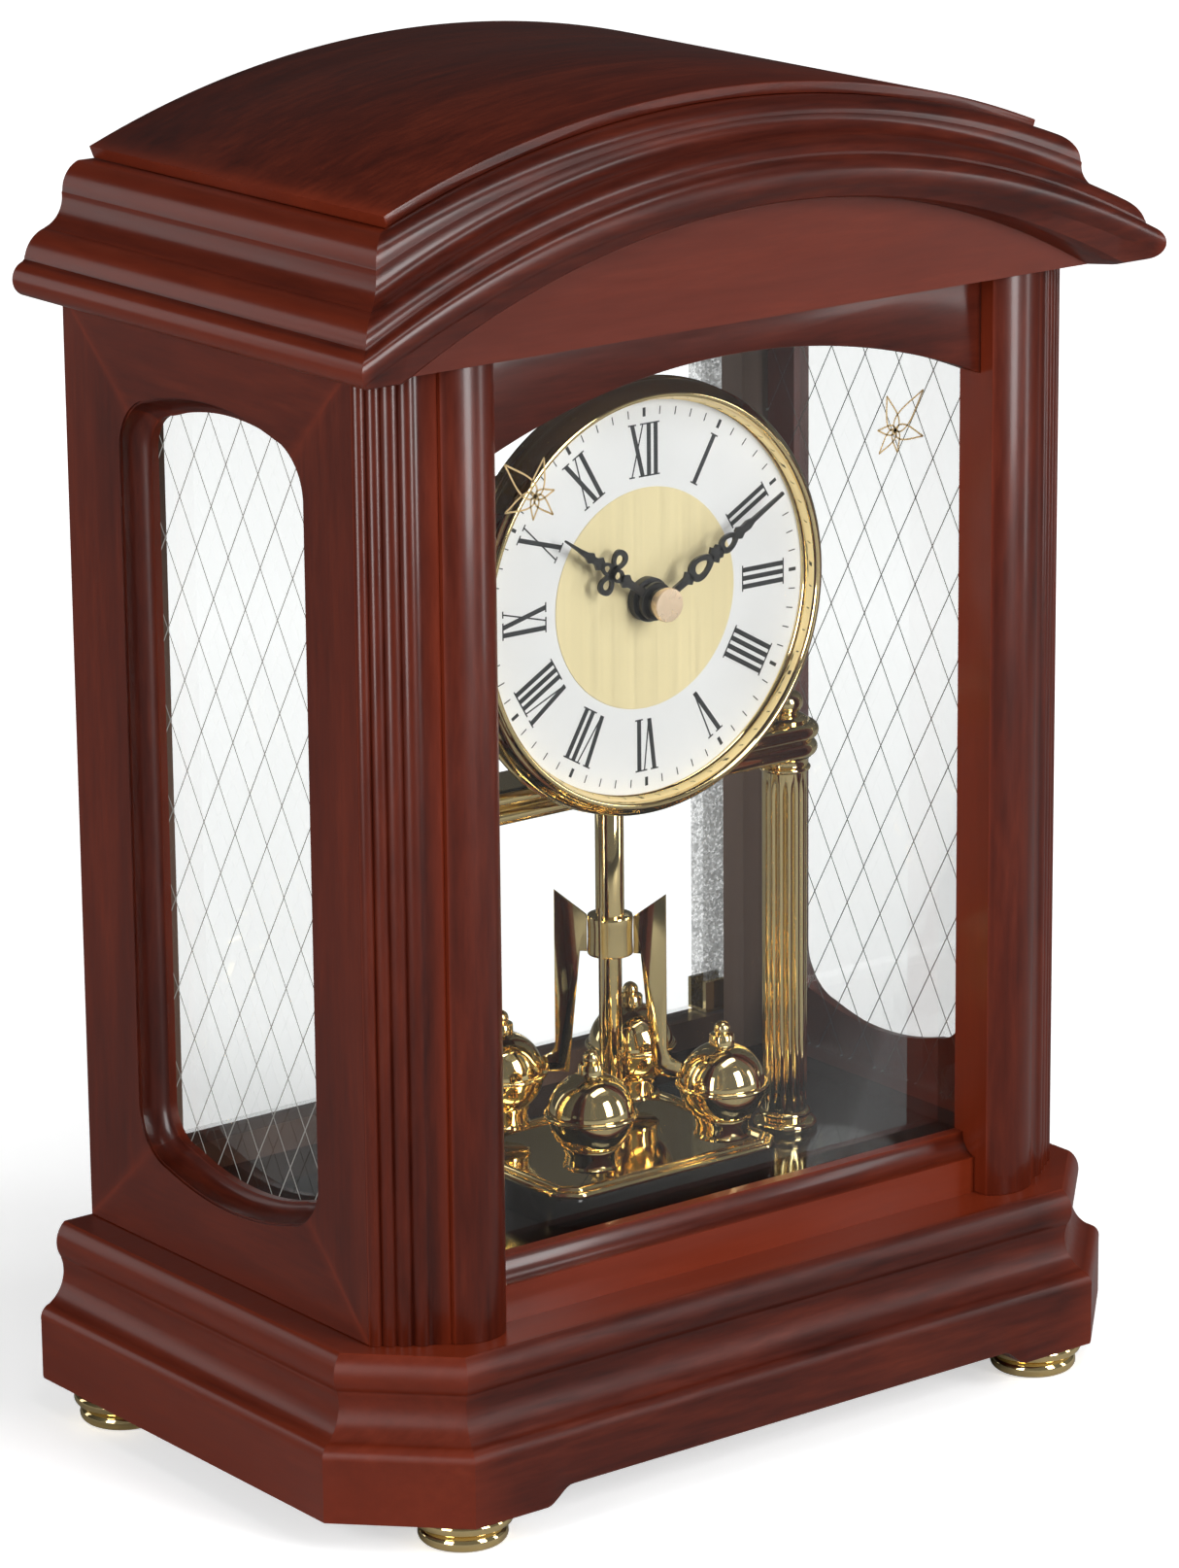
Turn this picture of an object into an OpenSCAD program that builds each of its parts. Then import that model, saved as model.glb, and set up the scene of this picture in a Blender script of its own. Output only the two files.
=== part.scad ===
// Mantel clock: a moulded hardwood case with glazed front, sides and back door,
// holding a brass revolving-pendulum insert with a battery quartz movement.
// Millimetres. X is right, Y is back, Z is up, the front looks along -Y.

/* [Base] */
// Height of the turned brass feet
foot_h = 7.7; // [6.5:0.1:9]
// Width of the base at its foot
base_w = 233; // [229:1:238]
// Depth of the base, back to front
base_d = 139.7; // [137:0.1:143]
// Height of the base moulding
base_h = 38.3; // [37:0.1:40]
// How far the base top edge stands in from the foot of the moulding
base_step = 6.6; // [6:0.1:7]
// Leg of the canted front corners, measured at the base top edge
base_cant = 20.5; // [18:0.5:23]

/* [Case] */
// Width over the side frames
body_w = 202.8; // [201:0.2:204]
// Depth of the side frames
side_d = 113; // [112:0.5:114]
// Thickness of the side frames
side_t = 8; // [7:0.5:8.5]
// Height of the crown soffit over the foot of the base
soffit_z = 261.3; // [260:0.1:264]
// Width of the opening in a side frame
window_w = 64.3; // [60:0.1:66]
// Height of the opening in a side frame, at its middle
window_h = 182; // [176:1:184]
// Radius of the arch under the front header
header_r = 185.3; // [180:0.1:195]
// Height of the front rail and of the back rail over the base
rail_h = 14.1; // [12:0.1:15]

/* [Crown] */
// Half width of the curved top board
top_hw = 93.1; // [92:0.1:94]
// Depth of the curved top board
top_d = 114.6; // [113:0.1:116]
// Radius of the curved top board
top_r = 252.8; // [245:0.1:262]
// Height of the top board at its ends, over the foot of the base
top_z = 293.7; // [292:0.1:295]
// Thickness of the top board
top_t = 3; // [2.6:0.1:3.4]

/* [Clock insert] */
// Height of the dial centre over the foot of the base
dial_z = 189.3; // [186:0.1:192]
// Distance of the dial face from the back of the case
dial_f = 85.6; // [85.4:0.1:86]
// Outer radius of the bezel
bezel_r = 51.5; // [50:0.1:53]
// Radius of the dial that shows inside the bezel
dial_r = 46.4; // [45:0.1:47]
// Radius of the gilt dial centre
centre_r = 26.1; // [24:0.1:28]
// Clock angle of the minute hand at rest, in degrees past twelve
minute_angle = 60.5; // [0:0.5:360]
// Clock angle of the hour hand at rest, in degrees past twelve
hour_angle = 305; // [0:0.5:360]
// Half spacing of the two brass columns
post_x = 54.7; // [53:0.1:58]
// Radius of the fluted brass columns
post_r = 5.4; // [5:0.1:6]

/* [Revolving pendulum] */
// Distance of the pendulum axis from the back of the case
pend_f = 71.3; // [70:0.1:73]
// Radius of the circle that the balls hang on
ball_orbit = 26.6; // [25.5:0.1:27]
// Radius of each ball
ball_r = 10.2; // [9.8:0.1:10.5]
// Angle of the first arm at rest
arm_angle = 42; // [0:1:90]

/* [Hidden] */
$fn = 64;

// Colours
mahogany = "#5a1f12";
dark_wood = "#3a150d";
brass = "#d9b34a";
clear = "#cfdde0";
ebony = "#141210";
silver = "#e8e8e4";
steel = "#8f9498";

// Back door and where the whole clock stands
knob_out = 8.4;
pane_t = 4.8;
y_back = (base_d - knob_out) / 2;
half_body = body_w / 2;
inner_x = half_body - side_t;
rail_z = base_h + rail_h;
floor_z = base_h + 6.7;
ceiling_z = soffit_z - 6;
back_t = 8;
back_top_z = soffit_z - 10.3;
door_gap = 1;
door_low = rail_z + door_gap;
door_high = back_top_z - door_gap;
pivot_x = inner_x - 5.4;
pivot_y = -pane_t / 2;

// Front of the case
post_in = 71.5;
post_split = 86;
post_face = 124.4;
front_t = 7.4;
glass_t = 3;
glass_hw = 80;

// Base plan: half width and depth of the top edge, and the constant of the canted line
bt_w = base_w / 2 - base_step;
bt_d = base_d - base_step;
bt_k = bt_w + bt_d - base_cant;
core_in = 2;
core_low = 4.2;
skirt_rise = 4.1;

// Gears of the motion work
gear_m = 0.4;
gear_gap = gear_m * 20;
arbor_r = 1.5;
pipe_bore = 1.58;
pipe_r = 2.5;
bush_bore = 2.58;
bush_r = 4;
set_r = 1.2;
set_bore = 1.28;
spindle_r = 2;
spindle_bore = 2.08;

// Points of a circular arc from p to q that stands s proud, to the left of p-q when s > 0
function arc(p, q, s, n = 8) =
    let (c = norm(q - p), h = abs(s), r = (c * c / 4 + h * h) / (2 * h), u = (q - p) / c,
         v = [-u.y, u.x] * sign(s), m = (p + q) / 2 - v * (r - h), a = asin(min(1, c / (2 * r))))
    [for (i = [0:n]) let (t = a * (2 * i / n - 1)) m + r * (u * sin(t) + v * cos(t))];

// A list of points mirrored left to right
function mirrored(pts) = [for (i = [len(pts) - 1:-1:0]) [-pts[i].x, pts[i].y]];

// The frame of the case: the back plane is Y = 0 and the foot of the base is Z = 0
module in_case() translate([0, y_back, foot_h]) children();

// The frame of the dial: local Z is the distance forward of the back plane
module in_dial() in_case() translate([0, 0, dial_z]) rotate([90, 0, 0]) children();

// Both sides of the case
module both_sides() {
    children();
    mirror([1, 0, 0]) children();
}

// A solid through rings of points, each ring the same closed section
module loft(rings) {
    n = len(rings[0]);
    last = len(rings) - 1;
    polyhedron(points = [for (r = rings) each r],
        faces = concat([[for (i = [n - 1:-1:0]) i]], [[for (i = [0:n - 1]) last * n + i]],
            [for (k = [0:last - 1], i = [0:n - 1])
                let (j = (i + 1) % n) [k * n + i, k * n + j, (k + 1) * n + j, (k + 1) * n + i]]),
        convexity = 8);
}

// ---------------------------------------------------------------- base

// Outline of the base moulding from its foot up: [outward from the top edge, height]
base_face = concat([[base_step - 0.7, 0]], [[base_step, 0.8]],
    arc([base_step, 15], [base_step - 2.2, 18.6], -0.8, 5),
    arc([base_step - 2.4, 18.8], [0.4, 29.4], 2, 8), arc([0.4, 29.8], [-0.5, base_h - 0.3], -1.5, 8));
base_section = concat(base_face, [[-0.9, base_h], [-core_in, base_h], [-core_in, 0]]);

// Corners of the base plan at an outward step s from the top edge
function cant_side(s) = [bt_w + s, -(bt_k + s * sqrt(2) - bt_w - s)];
function cant_front(s) = [bt_k + s * sqrt(2) - bt_d - s, -(bt_d + s)];

// The base section stood up at the back end, at either corner or at the left front corner
at_back = [for (p = base_section) [bt_w + p.x, 0, p.y]];
at_side = [for (p = base_section) concat(cant_side(p.x), p.y)];
at_front = [for (p = base_section) concat(cant_front(p.x), p.y)];
at_left = [for (p = at_front) [-p.x, p.y, p.z]];

module base_plan(s) polygon([cant_side(s), cant_front(s), [-cant_front(s).x, cant_front(s).y],
                             [-cant_side(s).x, cant_side(s).y], [-bt_w - s, 0], [bt_w + s, 0]]);

// The shaped cut under the front skirt, as an outline in X and Z
module skirt_cut() {
    half = concat(arc([72, 0], [68.3, skirt_rise / 2], 0.5, 4), arc([68, skirt_rise / 2 + 0.2],
                  [64.5, skirt_rise], -0.5, 4));
    polygon(concat([[72, -1]], half, mirrored(half), [[-72, -1]]));
}

module base_front_moulding() color(mahogany) in_case() difference() {
    loft([at_left, at_front]);
    translate([0, 0.01 - bt_d + core_in, 0]) rotate([90, 0, 0]) linear_extrude(20) skirt_cut();
}

module base_corner_mouldings() color(mahogany) in_case() both_sides()
    loft([at_front, at_side]);

module base_side_mouldings() color(mahogany) in_case() both_sides()
    loft([at_side, at_back]);

// Places of the four feet, as [x, y]
foot_x_front = base_w / 2 - 30.8;
foot_x_back = base_w / 2 - 12.1;
foot_places = [for (s = [-1, 1]) each [[s * foot_x_front, -(base_d - 13.7)], [s * foot_x_back, -16]]];
stud_r = 2.5;
stud_top = 14.2;

module base_board() color(dark_wood) in_case() difference() {
    translate([0, 0, core_low]) linear_extrude(base_h - core_low) base_plan(-core_in);
    for (p = foot_places) translate([p.x, p.y, core_low - 1])
        cylinder(r = stud_r, h = stud_top - core_low + 1);
}

// A turned foot: a low bead, a broad bead over it and a stud up into the base
module foot() rotate_extrude() polygon(concat([[0, -foot_h]], arc([8.6, -foot_h], [8.8, -3.6], -1.6, 8),
    arc([10, -3.4], [10, 0], -1.7, 10), [[stud_r, 0], [stud_r, stud_top], [0, stud_top]]));

module feet() color(brass) in_case() for (p = foot_places) translate([p.x, p.y, 0]) foot();

// ---------------------------------------------------------------- case

module case_floor() color(ebony) in_case()
    translate([-inner_x, -side_d + 0.1, base_h]) cube([2 * inner_x, side_d - 0.1 - back_t, floor_z - base_h]);

// Outline of a side opening in Y and Z: bowed top and bottom with rounded corners
module window_outline(grow) {
    w = window_w / 2 + grow;
    h = window_h / 2 + grow;
    bow = 4.6;
    round_r = 9 + grow / 2;
    top = concat(arc([w, h - bow - round_r], [w - round_r, h - bow + 1], -2.8, 6),
                 arc([w - round_r, h - bow + 1.2], [round_r - w, h - bow + 1.2], 1.4 - bow, 16),
                 arc([round_r - w, h - bow + 1], [-w, h - bow - round_r], -2.8, 6));
    polygon(concat(top, [for (p = top) -p]));
}

window_y = -58.2;
window_z = (base_h + soffit_z) / 2;

module side_frame() translate([inner_x, 0, 0]) difference() {
    translate([0, -side_d, base_h]) cube([side_t, side_d, soffit_z - base_h]);
    translate([-1, window_y, window_z]) rotate([90, 0, 90]) linear_extrude(side_t + 2) window_outline(0);
    translate([side_t - 3, window_y, window_z]) rotate([90, 0, 90]) linear_extrude(4) window_outline(2);
    translate([side_t - 1.4, window_y, window_z]) rotate([90, 0, 90]) linear_extrude(4) window_outline(4);
}

module side_frame_right() color(mahogany) in_case() side_frame();
module side_frame_left() color(mahogany) in_case() mirror([1, 0, 0]) side_frame();

side_glass_t = 2;
side_pane_hd = 42;
side_pane_hh = 101;
module side_glass() translate([inner_x - side_glass_t, window_y - side_pane_hd, window_z - side_pane_hh])
    cube([side_glass_t, 2 * side_pane_hd, 2 * side_pane_hh]);
module side_glass_right() color(clear, 0.4) in_case() side_glass();
module side_glass_left() color(clear, 0.4) in_case() mirror([1, 0, 0]) side_glass();

// Plan of the canted corner: four reeds, a plain band, then the flank of the column
reed_ends = [[half_body, -side_d], [98.9, -114.7], [96.4, -116.7], [93.4, -118.9], [90.5, -121.2]];
module pilaster() translate([0, 0, base_h]) linear_extrude(soffit_z - base_h)
    polygon(concat([[post_split, -side_d]],
        [for (i = [0:3]) each arc(reed_ends[i], reed_ends[i + 1], 0.9, 6)],
                   [[89.6, -121.4], [post_split + 0.6, -123.7], [post_split, -post_face + 1]]));
module pilaster_right() color(mahogany) in_case() pilaster();
module pilaster_left() color(mahogany) in_case() mirror([1, 0, 0]) pilaster();

// Plan of the rounded column beside the opening
module column() translate([0, 0, base_h]) linear_extrude(soffit_z - base_h)
    polygon(concat([[post_in, -side_d], [post_split, -side_d]],
                   arc([post_split, -post_face], [post_in, -post_face], 2.9, 16)));
module column_right() color(mahogany) in_case() column();
module column_left() color(mahogany) in_case() mirror([1, 0, 0]) column();

header_apex = soffit_z - 9.1;
module front_header() color(mahogany) in_case() translate([0, -side_d, 0]) rotate([90, 0, 0])
    linear_extrude(front_t) difference() {
        translate([-post_in, soffit_z - 24]) square([2 * post_in, 24]);
        translate([0, header_apex - header_r]) circle(r = header_r, $fn = 180);
    }

module front_rail() color(mahogany) in_case()
    translate([-post_in, -side_d - front_t, base_h]) cube([2 * post_in, front_t, rail_h]);

module front_glass() color(clear, 0.3) in_case()
    translate([-glass_hw, 0.1 - side_d, floor_z + 0.1])
        cube([2 * glass_hw, glass_t, ceiling_z - floor_z - 0.2]);

// A glazing clip: a foot beside the pane, a tongue over it and a screw head
module clip(pane) {
    cube([8, pane, 8]);
    translate([-4, pane, 0]) cube([12, 1.2, 8]);
    translate([4, pane + 1.2, 4]) rotate([-90, 0, 0]) cylinder(r = 2.2, h = 0.9);
}

clip_low = 56;
clip_high = 236;
side_clip_low = 72;
side_clip_high = 220;
module glass_clips() color(steel) in_case() both_sides() {
    for (z = [clip_low, clip_high]) translate([glass_hw + 0.1, 0.1 - side_d, z]) clip(glass_t);
    for (z = [side_clip_low, side_clip_high]) translate([inner_x, window_y - side_pane_hd - 0.1, z])
        mirror([0, 1, 0]) rotate([0, 0, 90]) clip(side_glass_t);
}

module ceiling_board() color(dark_wood) in_case()
    translate([-inner_x, 0.1 - side_d, ceiling_z])
        cube([2 * inner_x, side_d - 0.1 - back_t, soffit_z - ceiling_z]);

// A hinge pin turns in each rail, in a pressed brass bush
bush_out = 2.6;
bush_deep = 6;
pin_r = 1.5;
pin_bore = 1.58;
module back_rail() color(mahogany) in_case() difference() {
    translate([-inner_x, -back_t, base_h]) cube([2 * inner_x, back_t, rail_h]);
    translate([pivot_x, pivot_y, rail_z - bush_deep]) cylinder(r = bush_out, h = bush_deep + 1);
}

module back_top_rail() color(mahogany) in_case() difference() {
    translate([-inner_x, -back_t, back_top_z]) cube([2 * inner_x, back_t, soffit_z - back_top_z]);
    translate([pivot_x, pivot_y, back_top_z - 1]) cylinder(r = bush_out, h = bush_deep + 1);
}

// Posts inside the back corners: they keep the side panes in and stop the door
stile_w = 8.2;
stile_t = 8;
module back_stiles() color(mahogany) in_case() both_sides()
    translate([inner_x - stile_w, -back_t - stile_t, floor_z]) cube([stile_w, stile_t, ceiling_z - floor_z]);

module hinge_bushes() color(brass) in_case() for (z = [rail_z - bush_deep, back_top_z])
    translate([pivot_x, pivot_y, z]) difference() {
        cylinder(r = bush_out, h = bush_deep);
        translate([0, 0, -1]) cylinder(r = pin_bore, h = bush_deep + 2);
    }

// ---------------------------------------------------------------- crown

// Outline of the crown moulding from the soffit up: [outward from the top board, height]
nose_top = soffit_z + 8;
crown_face = concat(arc([17.4, soffit_z], [18.6, nose_top], -3.4, 6), [[18, nose_top + 0.7]],
    arc([17.8, nose_top + 1.4], [12.6, nose_top + 6.9], -1, 3),
    arc([12.4, nose_top + 7], [7.4, nose_top + 14.6], 1.6, 4),
    arc([7.3, nose_top + 15], [2.7, top_z - top_t], -1.2, 4));
crown_back_s = -8;
box_top = soffit_z + 9.2;
fascia_f = 127.8;
side_notch = half_body - top_hw + 0.1;
front_notch = fascia_f - top_d + 0.1;
function crown_section(notch) = concat(crown_face, [[crown_back_s, top_z - top_t], [crown_back_s, box_top],
                                                   [notch, box_top], [notch, soffit_z]]);

// Rise of the arch at a share u of the half span, 1 at the middle and 0 at the ends
function arch(u, w = top_hw) = let (v = min(1, abs(u)) * w, e = sqrt(top_r * top_r - w * w))
    (sqrt(top_r * top_r - v * v) - e) / (top_r - e);
top_rise = top_r - sqrt(top_r * top_r - top_hw * top_hw);
nose_rise = 27.6;
soffit_rise = 26.5;
soffit_span = 1.096;

// Height of a point of the front section at a share u of the half span
function front_height(p, u) = let (k = max(0, min(1, (p.y - box_top) / (top_z - top_t - box_top))))
    p.y < soffit_z + 1 ? p.y + soffit_rise * arch(u * soffit_span)
                       : p.y + ((1 - k) * nose_rise + k * top_rise) * arch(u);

front_steps = 18;
module crown_front_moulding() color(mahogany) in_case()
    loft([for (i = [0:front_steps]) let (u = 2 * i / front_steps - 1)
        [for (p = crown_section(front_notch)) [u * (top_hw + p.x), -(top_d + p.x), front_height(p, u)]]]);

module crown_side() loft([for (at_back = [0, 1])
    [for (p = crown_section(side_notch)) [top_hw + p.x, at_back == 1 ? 0 : -(top_d + p.x), p.y]]]);
module crown_side_mouldings() color(mahogany) in_case() both_sides() crown_side();

top_centre = top_z - sqrt(top_r * top_r - top_hw * top_hw);
module crown_top() color(mahogany) in_case() rotate([90, 0, 0]) linear_extrude(top_d) intersection() {
    translate([0, top_centre]) difference() {
        circle(r = top_r, $fn = 240);
        circle(r = top_r - top_t, $fn = 240);
    }
    translate([-top_hw, top_z - 10]) square([2 * top_hw, 40]);
}

module crown_back() color(dark_wood) in_case() rotate([90, 0, 0]) linear_extrude(10) {
    translate([-half_body, soffit_z]) square([body_w, box_top - soffit_z]);
    intersection() {
        translate([0, top_centre]) circle(r = top_r - top_t - 0.1, $fn = 240);
        translate([-top_hw - crown_back_s, box_top - 0.01]) square([2 * (top_hw + crown_back_s), 50]);
    }
}

fascia_t = 11;
module fascia() color(mahogany) in_case() translate([0, fascia_t - fascia_f, 0]) rotate([90, 0, 0])
    linear_extrude(fascia_t) polygon(concat([[half_body, soffit_z], [half_body, box_top - 0.2]],
        [for (i = [0:24]) let (u = 1 - i / 12) [92 * u, box_top - 0.2 + (nose_rise - 0.4) * arch(u)]],
        [[-half_body, box_top - 0.2], [-half_body, soffit_z]]));

// ---------------------------------------------------------------- back door

pane_side_gap = 0.8;
module door_glass() color(clear, 0.3) in_case() difference() {
    translate([-inner_x + pane_side_gap, -pane_t, door_low])
        cube([2 * inner_x - 2 * pane_side_gap, pane_t, door_high - door_low]);
    translate([knob_x, 1, knob_z]) rotate([90, 0, 0]) cylinder(r = knob_screw_r, h = pane_t + 2);
}

clamp_h = 8;
clamp_t = 1.2;
clamp_w = 9;
clamp_past = 2;
clamp_sole = 0.8;
module hinge_clamps() color(brass) in_case()
    for (z = [door_low - clamp_sole, door_high + clamp_sole - clamp_h])
    translate([pivot_x + clamp_past - clamp_w, -pane_t - clamp_t, z]) difference() {
        cube([clamp_w, pane_t + 2 * clamp_t, clamp_h]);
        translate([-1, clamp_t, z < window_z ? clamp_sole : -1]) cube([clamp_w + 2, pane_t, clamp_h + 0.2]);
        translate([clamp_w - clamp_past, clamp_t + pane_t / 2, -1]) cylinder(r = pin_r, h = clamp_h + 2);
    }

module hinge_pins() color(brass) in_case() {
    translate([pivot_x, pivot_y, rail_z - bush_deep + 0.5]) cylinder(r = pin_r, h = bush_deep + 0.5);
    translate([pivot_x, pivot_y, door_high]) cylinder(r = pin_r, h = bush_deep + 0.5);
}

knob_x = -inner_x + 9;
knob_z = 150;
knob_screw_r = 1.6;
module door_knob() color(brass) in_case() translate([knob_x, 0, knob_z]) rotate([-90, 0, 0]) {
    rotate_extrude() polygon(concat([[0, 0], [3.4, 0], [3.4, 0.9], [1.9, 1.6], [1.9, 3]],
        arc([2.4, 3.4], [2.4, knob_out], -2.4, 10), [[0, knob_out]]));
    translate([0, 0, -pane_t]) cylinder(r = knob_screw_r, h = pane_t);
    translate([0, 0, -pane_t - 1.2]) cylinder(r = 3.2, h = 1.2);
}

catch_z = 172;
module catch_plate() color(steel) in_case()
    translate([knob_x, -pane_t, catch_z]) rotate([90, 0, 0]) cylinder(r = 4, h = 0.8);
module catch_magnet() color(steel) in_case()
    translate([1.4 - inner_x, -back_t, catch_z - 6]) cube([11, 2.2, 12]);

// ---------------------------------------------------------------- clock insert

plinth_hw = 33.5;
plinth_hd = 25.7;
plinth_h = 7;
plate_z = floor_z + plinth_h;
module plinth_outline(grow) {
    w = plinth_hw + grow;
    d = plinth_hd + grow;
    c = 5;
    translate([0, -pend_f]) polygon([[w, d - c], [w - c, d], [c - w, d], [-w, d - c],
                                     [-w, c - d], [c - w, -d], [w - c, -d], [w, c - d]]);
}

module insert_plinth() color(ebony) in_case() translate([0, 0, floor_z])
    linear_extrude(plinth_h) plinth_outline(0);

module base_plate() color(brass) in_case() translate([0, 0, plate_z]) {
    linear_extrude(1.2) plinth_outline(-0.3);
    difference() {
        linear_extrude(2.6) plinth_outline(-0.6);
        translate([0, 0, -1]) linear_extrude(5) plinth_outline(-3);
    }
    translate([0, -pend_f, 0]) cylinder(r = 1.5, h = 6);
}

bar_z = 139;
bar_h = 8.4;
bar_r = 8.35;
flutes = 14;
post_f = 69.4;
module insert_column() translate([post_x, -post_f, floor_z]) {
    tall = bar_z - floor_z;
    difference() {
        translate([0, 0, 4]) cylinder(r = post_r, h = tall - 7);
        for (i = [0:flutes - 1]) rotate([0, 0, 360 * i / flutes]) translate([post_r + 0.35, 0, 7])
            cylinder(r = 0.85, h = tall - 14, $fn = 24);
    }
    rotate_extrude() polygon(concat([[0, 0], [7.6, 0]],
        arc([7.6, 0.6], [6.6, 2.6], -0.8, 5), [[5.8, 4], [0, 4]]));
    translate([0, 0, tall - 3]) cylinder(r = 6.5, h = 3);
}
module insert_column_right() color(brass) in_case() insert_column();
module insert_column_left() color(brass) in_case() mirror([1, 0, 0]) insert_column();

// Half section of the crossbar: two rolls, one over the other
bar_face = concat([[0, 0]], arc([bar_r - 1.6, 0], [bar_r - 1.4, bar_h / 2 - 0.2], -1.4, 6),
                  arc([bar_r - 1.3, bar_h / 2], [bar_r - 1.6, bar_h], -1.5, 6), [[0, bar_h]]);
module crossbar() color(brass) in_case() translate([0, -post_f, bar_z]) difference() {
    union() {
        rotate([90, 0, 90]) translate([0, 0, -post_x]) linear_extrude(2 * post_x)
            union() { polygon(bar_face); mirror([1, 0]) polygon(bar_face); }
        both_sides() translate([post_x, 0, 0]) rotate_extrude() polygon(bar_face);
    }
    translate([0, post_f - pend_f, -1]) cylinder(r = spindle_bore, h = bar_h + 2);
}

module finials() color(brass) in_case() both_sides() translate([post_x, -post_f, bar_z + bar_h])
    rotate_extrude() polygon(concat([[0, 0], [5.6, 0], [5.6, 1.2], [3.2, 2]],
        arc([3.4, 2.4], [2.6, 7.2], -1.6, 8),
        [[1.4, 7.8]], arc([1.4, 8], [0.4, 12], -1, 6), [[0, 12.2]]));

can_back = 77.8;
can_r = bezel_r - 2.45;
sheet_t = 1;
module dial_can() color(brass) in_dial() difference() {
    translate([0, 0, can_back]) cylinder(r = can_r, h = dial_f - sheet_t - can_back);
    translate([0, 0, can_back + 1]) cylinder(r = can_r - 1, h = 20);
    translate([0, 0, can_back - 1]) cylinder(r = bush_r, h = 4);
}

module bezel() color(brass) in_dial() rotate_extrude($fn = 120)
    polygon(concat([[can_r + 0.05, 82], [bezel_r, 82]],
        arc([bezel_r, dial_f + 2.6], [dial_r + 0.4, dial_f + 2.6], -2.3, 12),
        [[dial_r, dial_f + 0.6], [dial_r, dial_f + 0.05], [can_r + 0.05, dial_f + 0.05]]));

module dial_plate() color(silver) in_dial() translate([0, 0, dial_f - sheet_t]) difference() {
    cylinder(r = can_r, h = sheet_t, $fn = 120);
    translate([0, 0, -1]) cylinder(r = bush_r, h = 4);
}

foil_t = 0.15;
module dial_centre() color(brass) in_dial() translate([0, 0, dial_f]) difference() {
    cylinder(r = centre_r, h = foil_t, $fn = 96);
    translate([0, 0, -1]) cylinder(r = bush_r + 0.4, h = 4);
}

// The movement: an open-backed box of 56 mm with a threaded bush through the dial
box_hw = 28;
box_wall = 1.2;
box_back = 60.8;
bush_front = 88;
module movement_case() color(ebony) in_dial() difference() {
    union() {
        translate([-box_hw, -box_hw, box_back]) cube([2 * box_hw, 2 * box_hw, can_back - 0.05 - box_back]);
        cylinder(r = bush_r, h = bush_front);
    }
    translate([box_wall - box_hw, box_wall - box_hw, 0])
        cube([2 * (box_hw - box_wall), 2 * (box_hw - box_wall), can_back - box_wall - 0.05]);
    cylinder(r = bush_bore, h = bush_front + 1);
}

cover_low = -9.5;
module movement_back() color(ebony) in_dial() difference() {
    translate([box_wall - box_hw, cover_low, box_back])
        cube([2 * (box_hw - box_wall), box_hw - box_wall - cover_low, box_wall]);
    translate([0, gear_gap, box_back - 1]) cylinder(r = set_bore, h = 4);
}

cell_r = 7.1;
cell_y = -18.8;
cell_f = 69.3;
module battery() color(steel) in_dial() translate([0, cell_y, cell_f]) rotate([0, 90, 0]) {
    translate([0, 0, -25]) cylinder(r = cell_r, h = 49);
    translate([0, 0, 24]) cylinder(r = 2.7, h = 1.2);
}

module circuit_board() color("#1f5a2c") in_dial() translate([-26, 10.7, 70]) cube([17, 15, 1]);

module drive_coil() color("#b5652a") in_dial() translate([11, 18, 69]) rotate([0, 90, 0]) {
    cylinder(r = 3.6, h = 13);
    for (z = [0, 12]) translate([0, 0, z]) cylinder(r = 5, h = 1);
}

nut_r = 5.2;
nut_t = 2;
module mounting_nut() color(ebony) in_dial() translate([0, 0, dial_f + foil_t]) difference() {
    cylinder(r = nut_r, h = nut_t);
    translate([0, 0, -1]) cylinder(r = bush_r, h = nut_t + 2);
}

// ---------------------------------------------------------------- hands and motion work

// Plain wheel outline with straight-sided teeth, one tooth centred on the X axis
function wheel(teeth) =
    let (step = 360 / teeth, tip = gear_m * (teeth / 2 + 0.62), root = gear_m * (teeth / 2 - 0.95))
    [for (i = [0:teeth - 1]) each [for (s = [[root, -0.27], [tip, -0.1], [tip, 0.1], [root, 0.27]])
        s.x * [cos(step * (i + s.y)), sin(step * (i + s.y))]]];

module gear(teeth, at_angle, from, to) translate([0, 0, from]) rotate([0, 0, at_angle])
    linear_extrude(to - from) polygon(wheel(teeth));

module centre_arbor() color(brass) in_dial() {
    translate([0, 0, 62.6]) cylinder(r = arbor_r, h = 94 - 62.6);
    gear(10, 90, 73.3, 74.5);
}

module hour_wheel() color(brass) in_dial() difference() {
    union() {
        gear(32, 90, 75.3, 76.2);
        translate([0, 0, 75.3]) cylinder(r = pipe_r, h = 90.4 - 75.3);
    }
    translate([0, 0, 75]) cylinder(r = pipe_bore, h = 20);
}

module setting_wheel() color(brass) in_dial() translate([0, gear_gap, 0]) {
    gear(30, -84, 73.4, 74.4);
    gear(8, -67.5, 75.1, 76.3);
    translate([0, 0, 56.5]) cylinder(r = set_r, h = 76.3 - 56.5);
}

module set_knob() color(ebony) in_dial() translate([0, gear_gap, 55.4]) difference() {
    cylinder(r = 5.2, h = 4.8);
    translate([0, 0, 1.1]) cylinder(r = set_r, h = 5);
    for (i = [0:17]) rotate([0, 0, 20 * i]) translate([5.5, 0, -1]) cylinder(r = 0.5, h = 7, $fn = 16);
}

hand_t = 0.7;
// An ellipse of the given half length and half width, and a pierced lobe of a serpentine hand
function oval(long, wide) = [for (i = [0:23]) [wide * cos(15 * i), long * sin(15 * i)]];
module flat(pts) linear_extrude(hand_t) polygon(pts);
module lobe(at, long, wide) translate([0, at, 0]) difference() {
    flat(oval(long, wide));
    translate([0, 0, -1]) linear_extrude(hand_t + 2) polygon(0.55 * oval(long, wide));
}

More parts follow.
